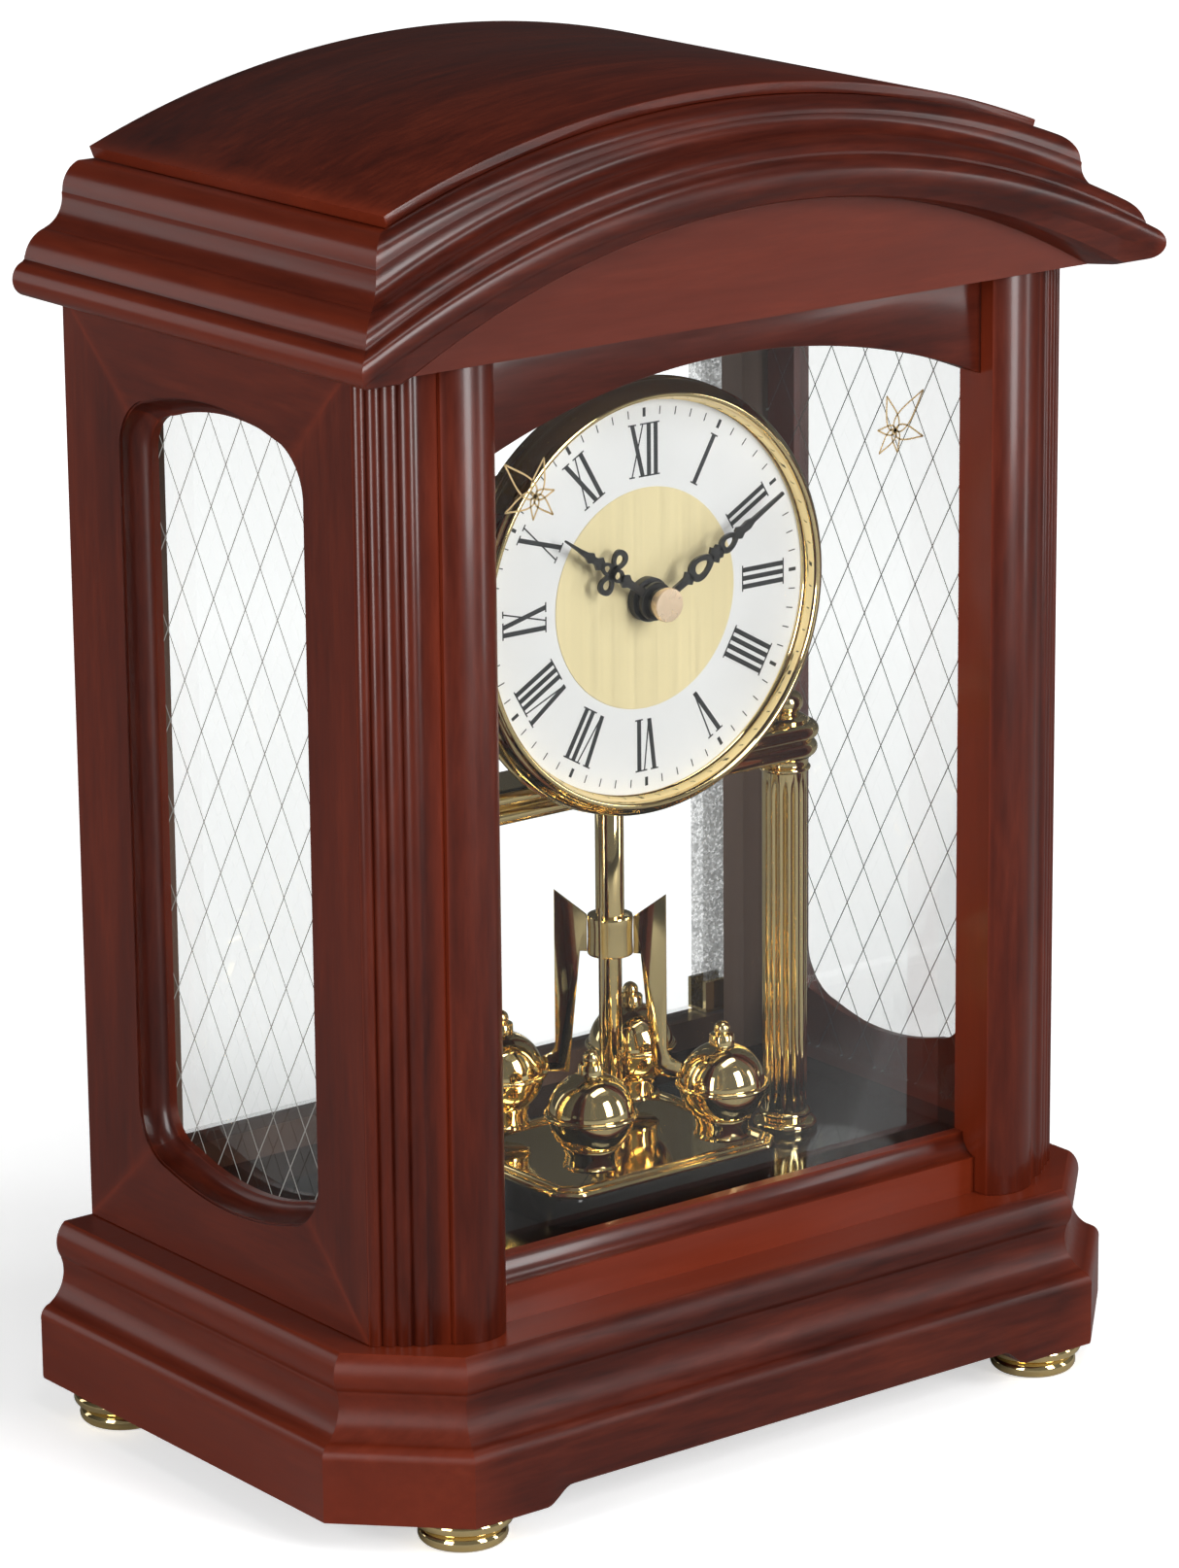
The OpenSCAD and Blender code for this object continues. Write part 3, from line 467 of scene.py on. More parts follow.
# ---- Reeded canted corners: four reeds and a plain band from the side frame to the column
reed_ends = [(half_body, side_front), (98.9, -114.7), (96.4, -116.7), (93.4, -118.9), (90.5, -121.2)]
plan = run([(column_out, side_front)], *[arc(reed_ends[i], reed_ends[i + 1], 0.9, 10) for i in range(4)],
           [(89.6, -121.5), (86.7, -123.5), (column_out, -123.4)])
reeds = prism(plan, base_h, soffit, 0.15)
piece("pilaster_reeds_right", reeds, wood_z, "case", ["pilaster_right"], 30)
piece("pilaster_reeds_left", mirrored(reeds), wood_z, "case", ["pilaster_left"], 30)

# ---- Rounded columns beside the opening
plan = run([(open_hw, side_front), (column_out, side_front)],
           arc((column_out, -124.4), (open_hw, -124.4), 2.9, 28))
shaft = prism(plan, base_h, soffit, 0.2)
piece("front_column_right", shaft, wood_z, "case", ["column_right"], 40)
piece("front_column_left", mirrored(shaft), wood_z, "case", ["column_left"], 40)

# ---- Front header with its arched edge, and the front rail with a rounded top arris
apex, radius = soffit - 9.1, 185.3
x = np.linspace(-open_hw, open_hw, 61)
under = np.stack([x, apex - radius + np.sqrt(radius ** 2 - x ** 2)], 1)
header = prism(run(under, [(open_hw, soffit), (-open_hw, soffit)]), header_front, side_front, 0.5, "y")
piece("header", header, wood_x, "case", ["front_header"], 30)
section = run([(side_front, base_h), (header_front, base_h)],
              arc((header_front, 47.0), (-116.0, 52.4), -1.3, 12), [(side_front, 52.4)])
piece("front_rail_round", prism(section, -open_hw, open_hw, 0.1, "x"), wood_x, "case",
      ["front_rail"], 30)

# ---- Crown: an arched front moulding mitred to straight side mouldings, over a plain fascia
top_hw, top_d, top_r, top_z, top_t, box_top = 93.1, 114.6, 252.8, 293.7, 3.0, soffit + 9.2
nose = soffit + 8
crown_face = run(arc((17.4, soffit), (18.6, nose), -3.4, 16), [(18.0, nose + 0.5), (17.95, nose + 1.1)],
                 arc((17.8, nose + 1.4), (12.6, nose + 6.9), -1.0, 10), [(12.35, nose + 6.95)],
                 arc((12.2, nose + 7.1), (7.4, nose + 14.6), 1.6, 14), [(7.25, nose + 14.8)],
                 arc((7.2, nose + 15.1), (2.7, top_z - top_t), -1.2, 10))


def crown_section(notch):
    return run(crown_face, [(-8, top_z - top_t), (-8, box_top), (notch, box_top), (notch, soffit)])


def arch(u):
    """Rise of the top arc over its ends, as a share of its rise at the middle."""
    v = np.minimum(1, np.abs(u)) * top_hw
    e = math.sqrt(top_r ** 2 - top_hw ** 2)
    return (np.sqrt(top_r ** 2 - v ** 2) - e) / (top_r - e)


top_rise = top_r - math.sqrt(top_r ** 2 - top_hw ** 2)
front = crown_section(127.8 - top_d + 0.1)


def front_ring(u):
    """Every line of the front moulding is its own arc, highest at the lip and lowest at the top board."""
    s, z = front[:, 0], front[:, 1]
    k = np.clip((z - box_top) / (top_z - top_t - box_top), 0, 1)
    lifted = np.where(z < soffit + 1, z + 26.5 * arch(u * 1.096),
                      z + ((1 - k) * 27.6 + k * top_rise) * arch(u))
    return np.stack([u * (top_hw + s), -(top_d + s), lifted], 1)


piece("crown_front", loft([front_ring(u) for u in np.linspace(-1, 1, 73)]), wood_x, "case",
      ["crown_front_moulding"], 30)
section = crown_section(half_body - top_hw + 0.1)
ends = [np.stack([top_hw + section[:, 0], -(top_d + section[:, 0]), section[:, 1]], 1),
        np.stack([top_hw + section[:, 0], 0 * section[:, 0], section[:, 1]], 1)]
side = loft(ends)
piece("crown_sides", together(side, mirrored(side)), wood_y, "case", ["crown_side_mouldings"], 30)
a = math.asin(top_hw / top_r)
t = np.linspace(a, -a, 61)
centre = top_z - math.sqrt(top_r ** 2 - top_hw ** 2)
lid = run(np.stack([top_r * np.sin(t), centre + top_r * np.cos(t)], 1),
          np.stack([(top_r - top_t) * np.sin(t[::-1]), centre + (top_r - top_t) * np.cos(t[::-1])], 1))
piece("crown_lid", prism(lid, -top_d, 0, 0.8, "y"), wood_top, "case", ["crown_top"], 40)
finish_node("fascia", wood_x)
finish_node("crown_back", wood_dark)
finish_node("back_rail", wood_dark)
finish_node("back_top_rail", wood_x)
finish_node("back_stiles", wood_post)
finish_node("ceiling_board", wood_dark)


# ---- Panes: float glass. The side panes carry a fine engraved lattice, the door pane a ground border.
def glass(name, lattice=False, border=0.0):
    mat, tree, base, add = shader(name)
    tree.nodes.remove(base)
    clear = add("BsdfTransparent", {"Color": (0.985, 0.99, 0.988, 1)})
    shine = add("BsdfGlossy", {"Color": (1, 1, 1, 1), "Roughness": 0.02})
    bend = add("Fresnel", {"IOR": 1.45})
    coord = add("TexCoord").outputs["Object"]
    wave = add("TexNoise", {"Vector": coord, "Scale": 6.0, "Detail": 1.0})
    part = add("MapRange", {"Value": wave.outputs["Fac"], "To Min": 0.22, "To Max": 0.30})
    part = add("Math", {0: bend.outputs[0], 1: part.outputs[0]}, operation="MULTIPLY")
    film = add("MixShader", {0: part.outputs[0], 1: clear.outputs[0], 2: shine.outputs[0]})
    last = film
    axis = add("SeparateXYZ", {0: coord})
    if lattice:
        lines = []
        for sign in (1, -1):
            across = add("Math", {0: axis.outputs["Y"], 1: sign / 0.0126}, operation="MULTIPLY")
            sloped = add("Math", {0: axis.outputs["Z"], 1: 1 / 0.0215, 2: across.outputs[0]},
                         operation="MULTIPLY_ADD")
            wave = add("Math", {0: sloped.outputs[0], 1: 0.5}, operation="PINGPONG")
            thin = add("Math", {0: wave.outputs[0], 1: 0.015}, operation="LESS_THAN")
            lines.append(thin)
        cut = add("Math", {0: lines[0].outputs[0], 1: lines[1].outputs[0]}, operation="MAXIMUM")
        grey = add("BsdfDiffuse", {"Color": (0.30, 0.29, 0.27, 1)})
        side = add("Math", {0: axis.outputs["X"]}, operation="ABSOLUTE")
        outer = add("Math", {0: side.outputs[0], 1: 0.0926}, operation="GREATER_THAN")
        some = add("Math", {0: cut.outputs[0], 1: outer.outputs[0]}, operation="MULTIPLY")
        last = add("MixShader", {0: some.outputs[0], 1: film.outputs[0], 2: grey.outputs[0]})
    if border:
        reach = add("Math", {0: axis.outputs["X"]}, operation="ABSOLUTE")
        rim = add("Math", {0: reach.outputs[0], 1: border}, operation="GREATER_THAN")
        frost = add("TexNoise", {"Vector": coord, "Scale": 1500.0, "Detail": 3.0})
        fleck = add("MapRange", {"Value": frost.outputs["Fac"], "From Min": 0.35, "From Max": 0.65,
                                 "To Min": 0.25, "To Max": 0.8})
        ground = add("BsdfDiffuse", {"Color": (0.62, 0.63, 0.63, 1)})
        some = add("Math", {0: rim.outputs[0], 1: fleck.outputs[0]}, operation="MULTIPLY")
        last = add("MixShader", {0: some.outputs[0], 1: film.outputs[0], 2: ground.outputs[0]})
    tree.links.new(last.outputs[0], tree.nodes["Material Output"].inputs[0])
    return mat


lattice = glass("glass_lattice", lattice=True)
finish_node("side_glass_left", lattice)
finish_node("side_glass_right", lattice)
finish_node("front_glass", glass("glass_front"))
finish_node("door_glass", glass("glass_door", border=0.0812))


def ribbon(line, wide, level, up=0.02, closed=True):
    """Flat strip of a given width along a plan line (x, z), standing up in front of the plane Y = level."""
    line = np.asarray(line, float)
    ahead = np.roll(line, -1, 0) - np.roll(line, 1, 0)
    if not closed:
        ahead[0], ahead[-1] = line[1] - line[0], line[-1] - line[-2]
    ahead /= np.maximum(np.linalg.norm(ahead, axis=1, keepdims=True), 1e-9)
    n = np.stack([-ahead[:, 1], ahead[:, 0]], 1) * wide / 2
    ring = [np.stack([p[:, 0], np.full(len(line), y), p[:, 1]], 1)
            for p, y in ((line - n, level), (line + n, level), (line + n, level - up),
                         (line - n, level - up))]
    rings = np.stack(ring, 1)
    if closed:
        rings = np.concatenate([rings, rings[:1]])
    return loft(rings, caps=not closed)


# ---- Gold corner ornaments on the front pane: a plain six-petal sprig in outline
sprig_size, sprig_x, sprig_z = 1.55, 52, 226
pane_face, line_wide, line_deep = -112.92, 0.42, 0.03
t = np.linspace(0, 2 * math.pi, 40, endpoint=False)
sprig = []
for turn, long, wide in ((0, 7.6, 2.0), (62, 5.6, 1.7), (-62, 5.6, 1.7), (180, 4.4, 1.3), (128, 3.4, 1.1),
                         (-128, 3.4, 1.1)):
    petal = np.stack([wide * np.sin(t) * (0.55 + 0.45 * np.cos(t)), long / 2 * (1 - np.cos(t))], 1)
    c, s = math.cos(math.radians(turn)), math.sin(math.radians(turn))
    sprig.append(petal @ np.array([[c, s], [-s, c]]))
gold_line = metal("gold_line", (0.80, 0.58, 0.30), 0.3)
for sign, word in ((1, "right"), (-1, "left")):
    c, s = math.cos(math.radians(-45 * sign)), math.sin(math.radians(-45 * sign))
    rows = [ribbon(sprig_size * p @ np.array([[c, s], [-s, c]]) + (sprig_x * sign, sprig_z),
                   line_wide, pane_face, line_deep) for p in sprig]
    piece("pane_ornament_" + word, together(*rows), gold_line, "case")


# ---- Floor of the case and plinth of the insert: black gloss plastic that mirrors the brass
def plastic(name, colour, rough, bump=0.03, scale=900.0, coat=0.0):
    mat, tree, base, add = shader(name)
    coord = add("TexCoord").outputs["Object"]
    cloud = add("TexNoise", {"Vector": coord, "Scale": 25.0, "Detail": 4.0})
    tone = add("MixRGB", {"Fac": cloud.outputs["Fac"], "Color1": (*[c * 0.85 for c in colour], 1),
                          "Color2": (*[min(1, c * 1.15) for c in colour], 1)})
    tree.links.new(tone.outputs[0], base.inputs["Base Color"])
    sheen = add("MapRange", {"Value": cloud.outputs["Fac"], "To Min": rough * 0.8, "To Max": rough * 1.2})
    tree.links.new(sheen.outputs[0], base.inputs["Roughness"])
    grain = add("TexNoise", {"Vector": coord, "Scale": scale, "Detail": 2.0})
    lump = add("Bump", {"Height": grain.outputs["Fac"], "Strength": bump, "Distance": 0.0002})
    tree.links.new(lump.outputs[0], base.inputs["Normal"])
    base.inputs["Coat Weight"].default_value = coat
    return mat


black_gloss = plastic("black_gloss", (0.012, 0.010, 0.009), 0.10, 0.01, coat=0.3)
black_plain = plastic("black_plastic", (0.022, 0.022, 0.024), 0.45, 0.35, 1600.0)
finish_node("case_floor", black_gloss)
floor_z, pend_y = 45.0, -71.3


def clipped(w, d, c, r=1.6):
    """Rectangle with clipped corners, each of its eight vertices rounded by r."""
    pts = np.array([(w, d - c), (w - c, d), (c - w, d), (-w, d - c), (-w, c - d), (c - w, -d), (w - c, -d),
                    (w, c - d)])
    out = []
    for i, p in enumerate(pts):
        a, b = pts[i - 1] - p, pts[(i + 1) % 8] - p
        a, b = p + a / np.linalg.norm(a) * r, p + b / np.linalg.norm(b) * r
        out += [(1 - s) ** 2 * a + 2 * s * (1 - s) * p + s * s * b for s in np.linspace(0, 1, 6)]
    return np.array(out)


def tiers(outline, at, steps, cap=True):
    """Outline taken inwards and upwards by steps (inset, height): a moulding that closes on itself."""
    rings = []
    for d, h in steps:
        o = inset(outline, d) if d else outline
        rings.append(np.stack([o[:, 0] + at[0], o[:, 1] + at[1], np.full(len(o), h + at[2])], 1))
    return loft(rings, caps=cap)


plinth = clipped(33.5, 25.7, 5.0)
piece("insert_plinth_block", tiers(plinth, (0, pend_y, floor_z), [(0.3, 0), (0, 0.3), (0, 6.6), (0.4, 7.0)]),
      black_gloss, "case", ["insert_plinth"])

# ---- Brass plate on the plinth: a mirror field inside a double bead
bead = run([(0.35, 0), (0.3, 0.5)], arc((0.35, 0.7), (1.9, 1.3), 0.55, 8),
           arc((2.0, 1.3), (4.0, 1.5), 0.95, 12),
           [(4.2, 1.15)])
plate = tiers(plinth, (0, pend_y, floor_z + 7), [tuple(p) for p in bead])
pin = lathe([(0, 1), (1.5, 1), (1.5, 5.6), (1.1, 6), (0, 6)], (0, pend_y, floor_z + 7), 24)
piece("insert_plate", together(plate, pin), brass, "case", ["base_plate"], 30)

# ---- Fluted brass columns with a spread foot, ring neck and cap, under the crossbar
post_x, post_y, post_r, bar_z, bar_h = 54.7, -69.4, 5.4, 139.0, 8.4
t = np.linspace(0, 2 * math.pi, 14 * 12, endpoint=False)
wave = np.abs(np.sin(7 * t))
rings = []
for z, cut in ((49, 0), (52, 0), (53.2, 0.55), (55, 0.9), (130, 0.9), (132.2, 0.55), (133.6, 0), (136, 0)):
    r = post_r - cut * (1 - wave ** 0.7)
    rings.append(np.stack([r * np.cos(t) + post_x, r * np.sin(t) + post_y, np.full(len(t), float(z))], 1))
foot_ring = run([(0, 45), (7.4, 45)], arc((7.7, 45.3), (6.6, 47.6), -0.7, 8), [(5.9, 48.0)],
                arc((6.0, 48.2), (5.6, 49.8), -0.5, 6), [(0, 49.9)])
cap_ring = run([(0, 135.2), (5.5, 135.2)], arc((5.7, 135.3), (5.7, 136.6), -0.6, 6), [(5.4, 136.8)],
               arc((5.8, 137.0), (6.6, 138.9), 0.4, 6), [(0, 139.0)])
leaf = []
for k in range(8):
    c, s = math.cos(k * math.pi / 4), math.sin(k * math.pi / 4)
    reach = arc((3.4, 0), (7.5, 0), 0.01, 6)[:, 0]
    w = np.array([1.7, 2.1, 2.3, 2.2, 1.8, 1.1, 0.3])
    h = np.array([50.6, 49.2, 47.6, 46.7, 46.2, 46.0, 46.1])
    rows = [np.array([(r * c - e * s + post_x, r * s + e * c + post_y, z + up) for e, up in
                      ((-a, 0), (0, 0.6), (a, 0), (0, -0.4))]) for r, a, z in zip(reach, w, h)]
    leaf.append(loft(rows))
column = together(loft(rings), lathe(foot_ring, (post_x, post_y, 0), 48),
                  lathe(cap_ring, (post_x, post_y, 0), 48), *leaf)
piece("brass_column_right", column, brass, "case", ["insert_column_right"], 40)
piece("brass_column_left", mirrored(column), brass, "case", ["insert_column_left"], 40)

# ---- Crossbar: two rolls one over the other, with round ends, and urn finials above the columns
a = np.linspace(-math.pi / 2, math.pi / 2, 25)
ends = np.stack([8.35 * np.cos(a) + post_x, 8.35 * np.sin(a)], 1)
bar = run(ends, ends * (-1, -1))
rolls = run([(3.4, 0)], arc((1.9, 0.05), (1.7, 4.0), 1.4, 12), arc((1.5, 4.3), (1.7, 8.35), 1.5, 12),
            [(3.2, bar_h)])
piece("crossbar_rolls", tiers(bar, (0, post_y, bar_z), [(max(0.02, d), h) for d, h in rolls]), brass, "case",
      ["crossbar"], 30)
urn = run([(0, 0), (5.5, 0), (5.6, 0.6), (4.8, 1.3), (3.2, 2.0)], arc((3.3, 2.3), (2.6, 7.2), -1.6, 14),
          [(1.5, 7.7)],
          arc((1.4, 8), (0.4, 12), -1, 10), [(0, 12.2)])
piece("urn_finials", together(*[lathe(urn, (x, post_y, bar_z + bar_h), 40) for x in (-post_x, post_x)]),
      brass, "case",
      ["finials"])

# ---- Dial: white sheet with a gilt centre, minute ring and Roman numerals that stand on the centre
dial_z, dial_f = 189.3, 85.6


def on_dial(part):
    """Dial coordinates (right, up, forward) into the case frame."""
    v, f = part
    return np.stack([v[:, 0], -v[:, 2], v[:, 1] + dial_z], 1), f


def slab(outline, low, high):
    o = np.asarray(outline, float)
    return loft([np.column_stack([o, np.full(len(o), h)]) for h in (low, high)])


def at_hour(part, degrees):
    """Turned clockwise about the dial's centre."""
    c, s = math.cos(math.radians(degrees)), math.sin(math.radians(degrees))
    v, f = part
    return np.stack([v[:, 0] * c + v[:, 1] * s, -v[:, 0] * s + v[:, 1] * c, v[:, 2]], 1), f


num_low, num_high, ink = 28.8, 41.0, (dial_f + 0.012, dial_f + 0.05)


def stroke(x0, x1, thick):
    """One stem from (x0, foot) to (x1, head) of a numeral, with the ends cut level."""
    return [(x0 - thick / 2, num_low), (x0 + thick / 2, num_low), (x1 + thick / 2, num_high),
            (x1 - thick / 2, num_high)]


def serif(x, half, level):
    return [(x - half, level - 0.17), (x + half, level - 0.17), (x + half, level + 0.17),
            (x - half, level + 0.17)]


def numeral(text):
    """Strokes of a Roman numeral, thick stems and hairlines, centred on the dial's vertical."""
    width = {"I": 2.0, "V": 4.2, "X": 4.6}
    x = -sum(width[c] for c in text) / 2
    shapes = []
    for c in text:
        w = width[c]
        m = x + w / 2
        if c == "I":
            shapes += [stroke(m, m, 1.15), serif(m, 1.12, num_low), serif(m, 1.12, num_high)]
        if c == "V":
            shapes += [stroke(m + 0.1, x + 0.75, 1.15), stroke(m + 0.25, x + w - 0.5, 0.36),
                       serif(x + 0.75, 1.1, num_high), serif(x + w - 0.5, 0.8, num_high)]
        if c == "X":
            shapes += [stroke(x + w - 0.8, x + 0.8, 1.15), stroke(x + 0.7, x + w - 0.7, 0.36),
                       serif(x + 0.8, 1.15, num_high), serif(x + w - 0.7, 0.8, num_high),
                       serif(x + 0.7, 0.8, num_low), serif(x + w - 0.8, 1.15, num_low)]
        x += w
    return [slab(s, ink[0] + 0.002 * k, ink[1] + 0.002 * k) for k, s in enumerate(shapes)]


marks = []
for hour, text in enumerate(["XII", "I", "II", "III", "IIII", "V", "VI", "VII", "VIII", "IX", "X", "XI"]):
    marks += [at_hour(s, 30 * hour) for s in numeral(text)]
for minute in range(60):
    half = 0.42 if minute % 5 == 0 else 0.13
    low = 42.7 if minute % 5 == 0 else 42.9
    marks.append(at_hour(slab([(-half, low), (half, low), (half, 44.8), (-half, 44.8)], *ink), 6 * minute))
ink_mat = plastic("dial_ink", (0.022, 0.024, 0.026), 0.4)
piece("dial_figures", on_dial(together(*marks)), ink_mat, "case", (), 40)
sheet_face = run([(0, 84.6), (49.0, 84.6), (49.05, 84.7), (49.05, 85.55), (49.0, 85.6), (0, 85.6)])
white = plastic("dial_white", (0.90, 0.90, 0.89), 0.35, 0.02)
piece("dial_sheet", lathe(sheet_face, (0, dial_z, 0), 128, dial=True), white, "case",
      ["dial_plate"])
centre_gilt = metal("brushed_gilt", (0.92, 0.79, 0.46), 0.42, streak="z", fine=240.0, depth=0.05)
centre_gilt.node_tree.nodes["Principled BSDF"].inputs["Metallic"].default_value = 0.25
disc = run([(4.4, 85.6), (26.05, 85.6), (26.1, 85.66), (26.0, 85.75), (4.4, 85.75), (4.4, 85.6)])
piece("dial_gilt_disc", lathe(disc, (0, dial_z, 0), 128, dial=True), centre_gilt, "case",
      ["dial_centre"])

# ---- Bezel: a polished convex brass ring, fine outer lip, inner slope down to the dial
can_r = 49.05
rim = run([(can_r + 0.05, 82.0), (50.9, 82.0), (51.5, 82.5), (51.5, 83.3), (51.1, 83.6), (51.05, 84.2)],
          arc((51.0, 84.6), (49.2, 89.6), -0.9, 12), arc((49.1, 89.75), (47.7, 90.2), -0.45, 8),
          [(47.4, 89.6)],
          arc((47.3, 89.4), (46.6, 86.2), 0.35, 8), [(46.4, 86.0), (46.4, 85.65), (can_r + 0.05, 85.65),
                                                     (can_r + 0.05, 82.0)])
piece("bezel_ring", lathe(rim, (0, dial_z, 0), 160, dial=True), brass, "case", ["bezel"], 28)
finish_node("dial_can", metal("can_brass", (0.74, 0.60, 0.34), 0.25))

# ---- Movement and its fitting: black moulded case, nut, board, coil, cell and gears
for name in ("movement_case", "movement_back", "set_knob", "mounting_nut"):
    finish_node(name, black_plain)
gear_brass = metal("gear_brass", (0.80, 0.64, 0.34), 0.28)
finish_node("setting_wheel", gear_brass)
steel = metal("plated_steel", (0.62, 0.62, 0.60), 0.25)
for name in ("catch_plate", "catch_magnet", "glass_clips"):
    finish_node(name, steel)
finish_node("battery", plastic("cell_jacket", (0.05, 0.055, 0.07), 0.3, 0.02))
finish_node("circuit_board", plastic("solder_mask", (0.02, 0.12, 0.04), 0.3, 0.2, 500.0))
finish_node("drive_coil", metal("copper_wire", (0.72, 0.30, 0.12), 0.3, streak="z"))
for name in ("hinge_bushes", "hinge_clamps", "hinge_pins", "hour_wheel", "centre_arbor"):
    finish_node(name, brass if name.startswith("hinge") else gear_brass)

# ---- Hands: pierced serpentine pattern in black, on a stepped black boss
black_hand = plastic("hand_black", (0.016, 0.016, 0.016), 0.32, 0.05)


def oval(at, long, wide, n=28, lean=0.0):
    """Ellipse at a distance along the hand, pulled to a point towards the tip by lean."""
    t = np.linspace(0, 2 * math.pi, n, endpoint=False)
    return np.stack([wide * np.cos(t) * (1 - lean * np.sin(t)), at[1] + long * np.sin(t)], 1) + (at[0], 0)


def eye(at, long, wide, low, high, hole=0.55, lean=0.0, turn=0.0, about=(0, 0)):
    """Pierced lobe: an oval ring of even thickness, turned about a point of the hand."""
    o = oval(at, long, wide, lean=lean)
    h = oval(at, long * hole, wide * hole, lean=lean)
    c, s = math.cos(turn), math.sin(turn)
    spin = np.array([[c, s], [-s, c]])
    rings = [np.column_stack([(p - about) @ spin + about, np.full(len(p), z)]) for p, z in
             ((o, low), (o, high), (h, high), (h, low), (o, low))]
    return loft(rings, caps=False)


def bar_shape(points, low, high):
    """Symmetrical blade from half widths (w, along)."""
    p = np.array(points, float)
    return slab(np.vstack([p, (p * (-1, 1))[::-1]]), low, high)


low, high = 89.2, 89.9
about = (0.0, 15.2)
hour = [bar_shape([(1.1, 3), (0.85, 7), (0.95, 9.4), (1.7, 10.6), (1.1, 11.7), (1.0, 12.4)], low, high),
        eye((0, 13.5), 1.8, 1.6, low, high), eye((0, 17.2), 2.0, 1.5, low, high, 0.5, 0.3),
        eye((0, 18.4), 2.5, 2.1, low, high, 0.5, -0.25, math.pi / 2, about),
        eye((0, 18.4), 2.5, 2.1, low, high, 0.5, -0.25, -math.pi / 2, about),
        slab(oval((0, 15.3), 1.0, 1.8), low, high),
        bar_shape([(0.9, 18.7), (1.7, 19.8), (0.9, 20.9), (0.8, 22.0), (1.35, 22.8), (0.75, 24.2),
                   (0.45, 27), (0.22, 31.6)],
                  low, high)]
boss = lathe([(2.5, 88.9), (4.45, 88.9), (4.5, 89.1), (4.5, 90.0), (4.2, 90.3), (2.5, 90.3), (2.5, 88.9)],
             (0, dial_z, 0), 48, dial=True)
piece("hour_hand_pierced", together(on_dial(at_hour(together(*hour), 305)), boss), black_hand, "hour_set",
      ["hour_hand"], 40)
low, high = 91.2, 91.9
minute = [bar_shape([(1.1, 2), (0.9, 6), (1.0, 8.2), (1.9, 9.2), (1.1, 10.2)], low, high),
          eye((0, 13.6), 4.0, 2.7, low, high, 0.52, 0.3),
          bar_shape([(1.3, 17.0), (2.3, 18.0), (1.5, 18.8), (1.9, 19.6), (1.2, 20.4)], low, high),
          eye((0, 22.9), 3.0, 2.1, low, high, 0.48, 0.25),
          bar_shape([(1.1, 25.5), (1.6, 26.4), (0.95, 27.6), (1.15, 29.6), (0.6, 31.2), (0.34, 41.6)], low,
                    high)]
boss = lathe([(1.5, 91.0), (3.3, 91.0), (3.4, 91.1), (3.4, 91.9), (1.5, 91.95), (1.5, 91.0)],
             (0, dial_z, 0), 48, dial=True)
piece("minute_hand_pierced", together(on_dial(at_hour(together(*minute), 60.5)), boss), black_hand,
      "minute_set",
      ["minute_hand"], 40)

# ---- Hand nut: a turned disc of rosy brass on a knurled neck
nut = run([(1.5, 91.9), (3.3, 91.9), (3.4, 92.1), (3.4, 93.2), (2.7, 93.3), (3.9, 93.4), (4.0, 93.5),
           (4.0, 94.5), (3.85, 94.75),
           (3.5, 94.8), (0, 94.8), (0, 94.0), (1.5, 94.0), (1.5, 91.9)])
rosy = metal("rosy_brass", (0.98, 0.74, 0.52), 0.3)
rosy.node_tree.nodes["Principled BSDF"].inputs["Metallic"].default_value = 0.5
piece("hand_nut_turned", lathe(nut, (0, dial_z, 0), 56, dial=True), rosy, "minute_set",
      ["hand_nut"])

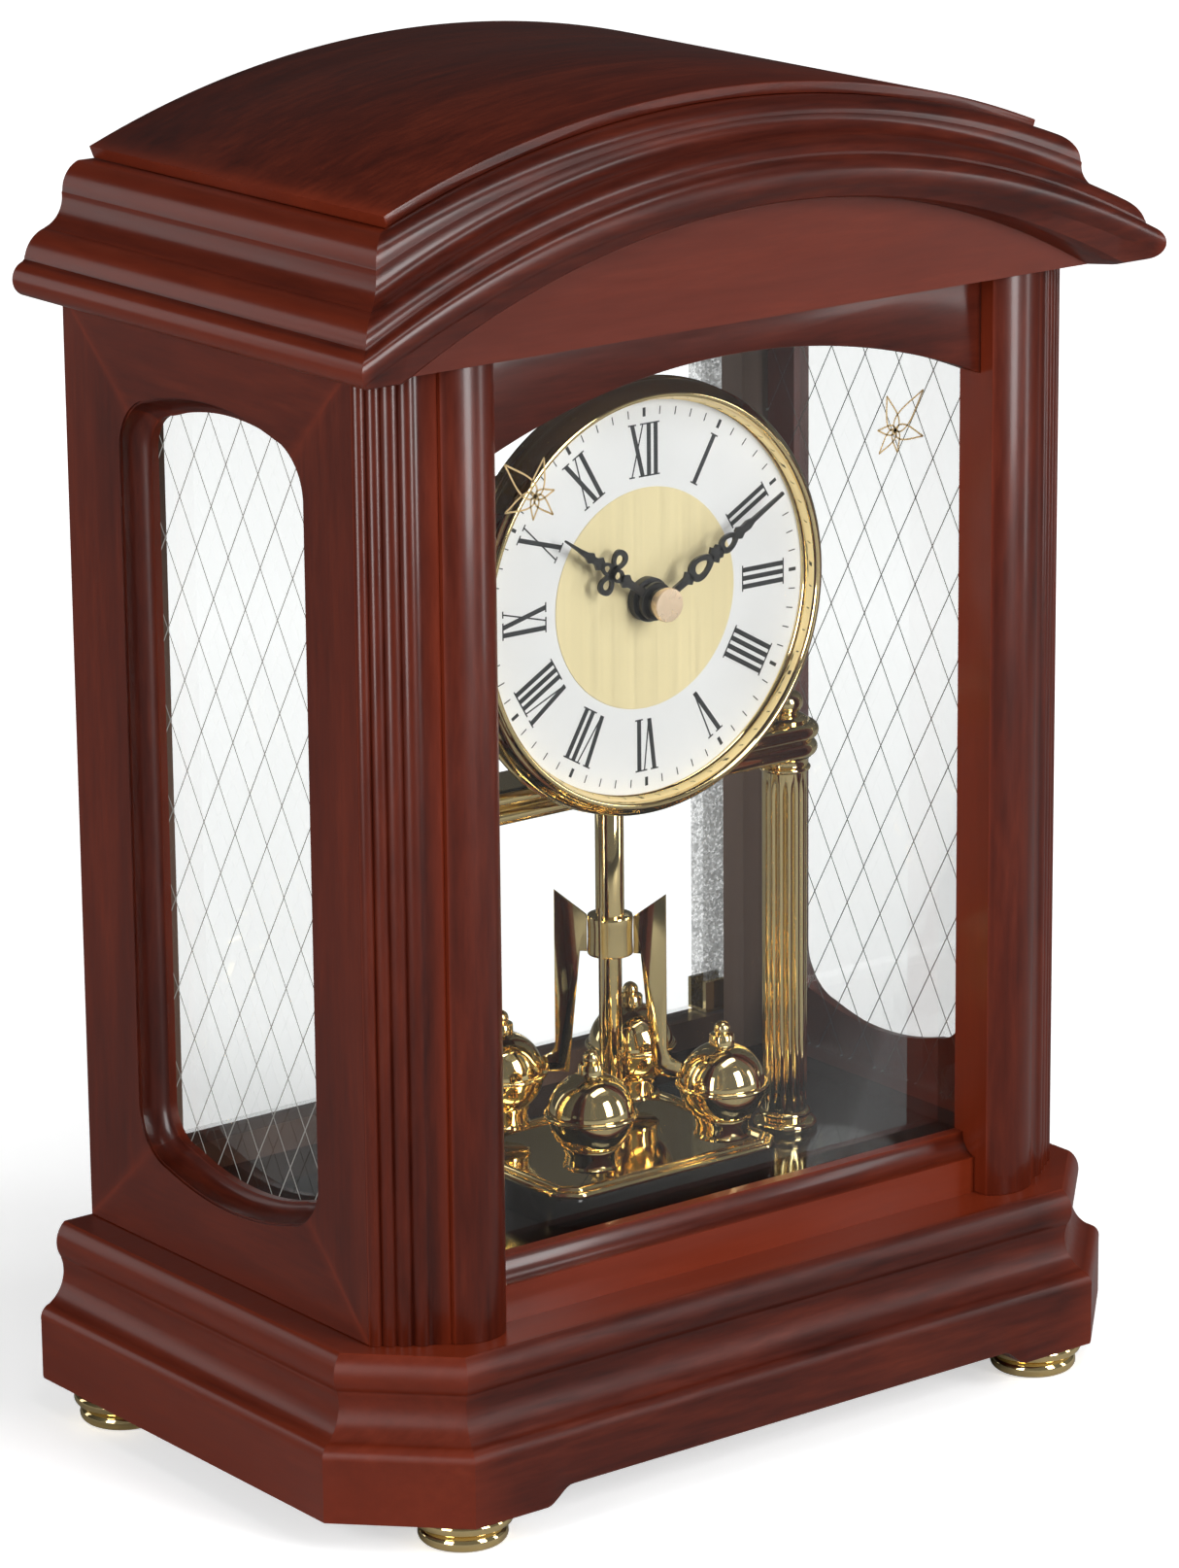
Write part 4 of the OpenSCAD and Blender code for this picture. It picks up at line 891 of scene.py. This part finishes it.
# ---- Revolving pendulum: tube and collar, four pressed blades, each carrying a ball with a girdle,
# ---- a socket and a knob
arm = math.radians(42)
stem = run([(0, 62), (1.6, 62), (2.2, 62.8), (2.2, 63.5), (2.6, 64), (2.6, 100.2), (5.3, 100.4),
            (5.45, 100.7)],
           arc((5.45, 101.0), (5.45, 109.4), 0.15, 6), [(5.3, 109.9), (3.45, 110.1), (3.4, 110.6),
                                                        (3.4, 138.2), (3.2, 138.6), (2.0, 138.7),
            (2.0, 147.5), (3.2, 147.5), (3.4, 147.7), (3.4, 149.2), (3.1, 149.5), (0, 149.5)])
piece("pendulum_tube", lathe(stem, (0, pend_y, 0), 56), brass, "pendulum", ["pendulum_stem"],
      40)


def on_arm(part, k):
    """Arm coordinates (out, across, up) turned about the pendulum's axis."""
    v, f = part
    a = arm + k * math.pi / 2
    return np.stack([v[:, 0] * math.cos(a) - v[:, 1] * math.sin(a),
                     v[:, 0] * math.sin(a) + v[:, 1] * math.cos(a) + pend_y,
                     v[:, 2]], 1), f


orbit, ball_z, ball_r = 26.6, 69.4, 10.2
outline = run([(13.4, 115.4), (5.6, 109.6), (5.6, 100.6), (7.3, 100.6), (10.2, 70.4),
               (orbit - ball_r + 0.15, 70.4),
               (orbit - ball_r + 0.55, 73.8)], arc((15.4, 74.6), (13.4, 77.4), 0.5, 6))
blade = prism(outline, -0.4, 0.4, 0.12, "y")
piece("pendulum_blades_pressed", together(*[on_arm(blade, k) for k in range(4)]), brass, "pendulum",
      ["pendulum_blades"], 30)
a = np.radians(np.linspace(-50, -3.4, 18))
b = np.radians(np.linspace(3.4, 72, 24))
ball = run([(0, -12.8), (6.4, -12.8), (6.75, -12.6), (6.8, -12.1), (6.3, -11.6), (6.2, -9.4), (6.6, -8.2)],
           np.stack([ball_r * np.cos(a), ball_r * np.sin(a)], 1), arc((10.5, -0.62), (10.5, 0.62), -0.61, 8),
           np.stack([ball_r * np.cos(b), ball_r * np.sin(b)], 1),
           [(2.95, 9.9), (2.95, 12.1), (2.7, 12.4), (1.9, 12.5)],
           arc((1.75, 12.7), (0.6, 15.45), -0.65, 8), [(0, 15.7)])
balls = [on_arm(lathe(ball, (orbit, 0, ball_z), 64), k) for k in range(4)]
piece("pendulum_balls_turned", together(*balls), brass, "pendulum", ["pendulum_balls"], 40)

# ---- Door furniture
finish_node("door_knob", brass)
